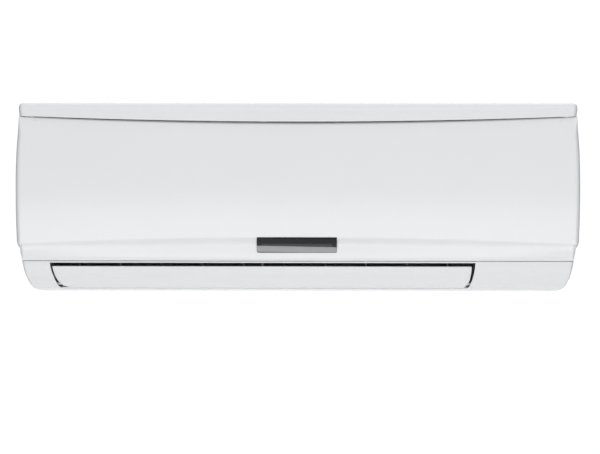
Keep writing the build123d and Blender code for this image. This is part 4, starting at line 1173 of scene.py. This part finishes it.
w_lean = w_math("MULTIPLY_ADD", w_math("MAXIMUM", w_sep.outputs["Y"], 0.0), 0.25, w_math("ABSOLUTE", w_sep.outputs["X"]))
w_side = w_range(w_lean, 0.25, 0.75, 1.0, 0.06)                                         # dark flags to the left and right
w_front = w_range(w_sep.outputs["Y"], -0.9, 0.8, 0.93, 1.08)                            # white cove behind
w_up = w_range(w_sep.outputs["Z"], -0.1, 0.9, 1.05, 1.42)
w_total = w_math("MULTIPLY", w_math("MULTIPLY", w_front, w_up), w_side)
w_path = wn.nodes.new("ShaderNodeLightPath")
w_back = w_range(w_sep.outputs["Y"], 0.55, 0.95, 0.74, 1.06)                            # the plain backdrop as seen directly
w_mix = wn.nodes.new("ShaderNodeMix")
wn.links.new(w_path.outputs["Is Camera Ray"], w_mix.inputs["Factor"])
wn.links.new(w_total, w_mix.inputs["A"])
wn.links.new(w_back, w_mix.inputs["B"])
wn.links.new(w_mix.outputs["Result"], w_bg.inputs["Strength"])
w_bg.inputs["Color"].default_value = (0.985, 0.992, 1.0, 1)


def area(name, loc, look, size, size_y, power, colour=(1, 1, 1)):
    l = bpy.data.lights.new(name, "AREA")
    l.shape = "RECTANGLE"
    l.size, l.size_y, l.energy, l.color = size, size_y, power, colour
    o = bpy.data.objects.new(name, l)
    scene.collection.objects.link(o)
    o.location = loc
    o.rotation_euler = (Vector(look) - Vector(loc)).to_track_quat("-Z", "Y").to_euler()
    o.visible_camera = False
    return o


area("key_above", (0.5, -2.2, 2.4), (0.05, -0.1, 0.0), 1.6, 1.2, 4.0)
area("low_front", (0.1, -2.6, -0.62), (0, -0.17, -0.08), 3.2, 1.0, 17.0)
area("floor_glow", (0.05, -1.15, -0.70), (0, -0.15, -0.06), 2.6, 0.8, 1.5)

cam_data = bpy.data.cameras.new("camera")
cam = bpy.data.objects.new("camera", cam_data)
scene.collection.objects.link(cam)
scene.camera = cam
cam_data.sensor_width = 36.0
# five metres away, almost square on: 0.9 degrees to the right and 0.6 degrees below the middle
F_PX, C_PX, C_PY = 3575.7, 297.5, 196.9
cam_data.lens = F_PX * 36.0 / 600.0
middle = Vector((0.0, -0.170, 0.0))
yaw, lift, roll = math.radians(0.9), math.radians(-0.6), math.radians(0.074)
away = Vector((math.sin(yaw) * math.cos(lift), -math.cos(yaw) * math.cos(lift), math.sin(lift)))
cam.location = middle + away * 5.0
turn = (-away).to_track_quat("-Z", "Y").to_matrix()
turn = turn @ Matrix.Rotation(math.atan((C_PX - 300.0) / F_PX), 3, "Y") @ Matrix.Rotation(math.atan((C_PY - 227.0) / F_PX), 3, "X") @ Matrix.Rotation(roll, 3, "Z")
cam.rotation_euler = turn.to_euler()
cam_data.clip_end = 60.0

scene.view_settings.view_transform = "Standard"
scene.view_settings.look = "None"
scene.view_settings.exposure = 0.0
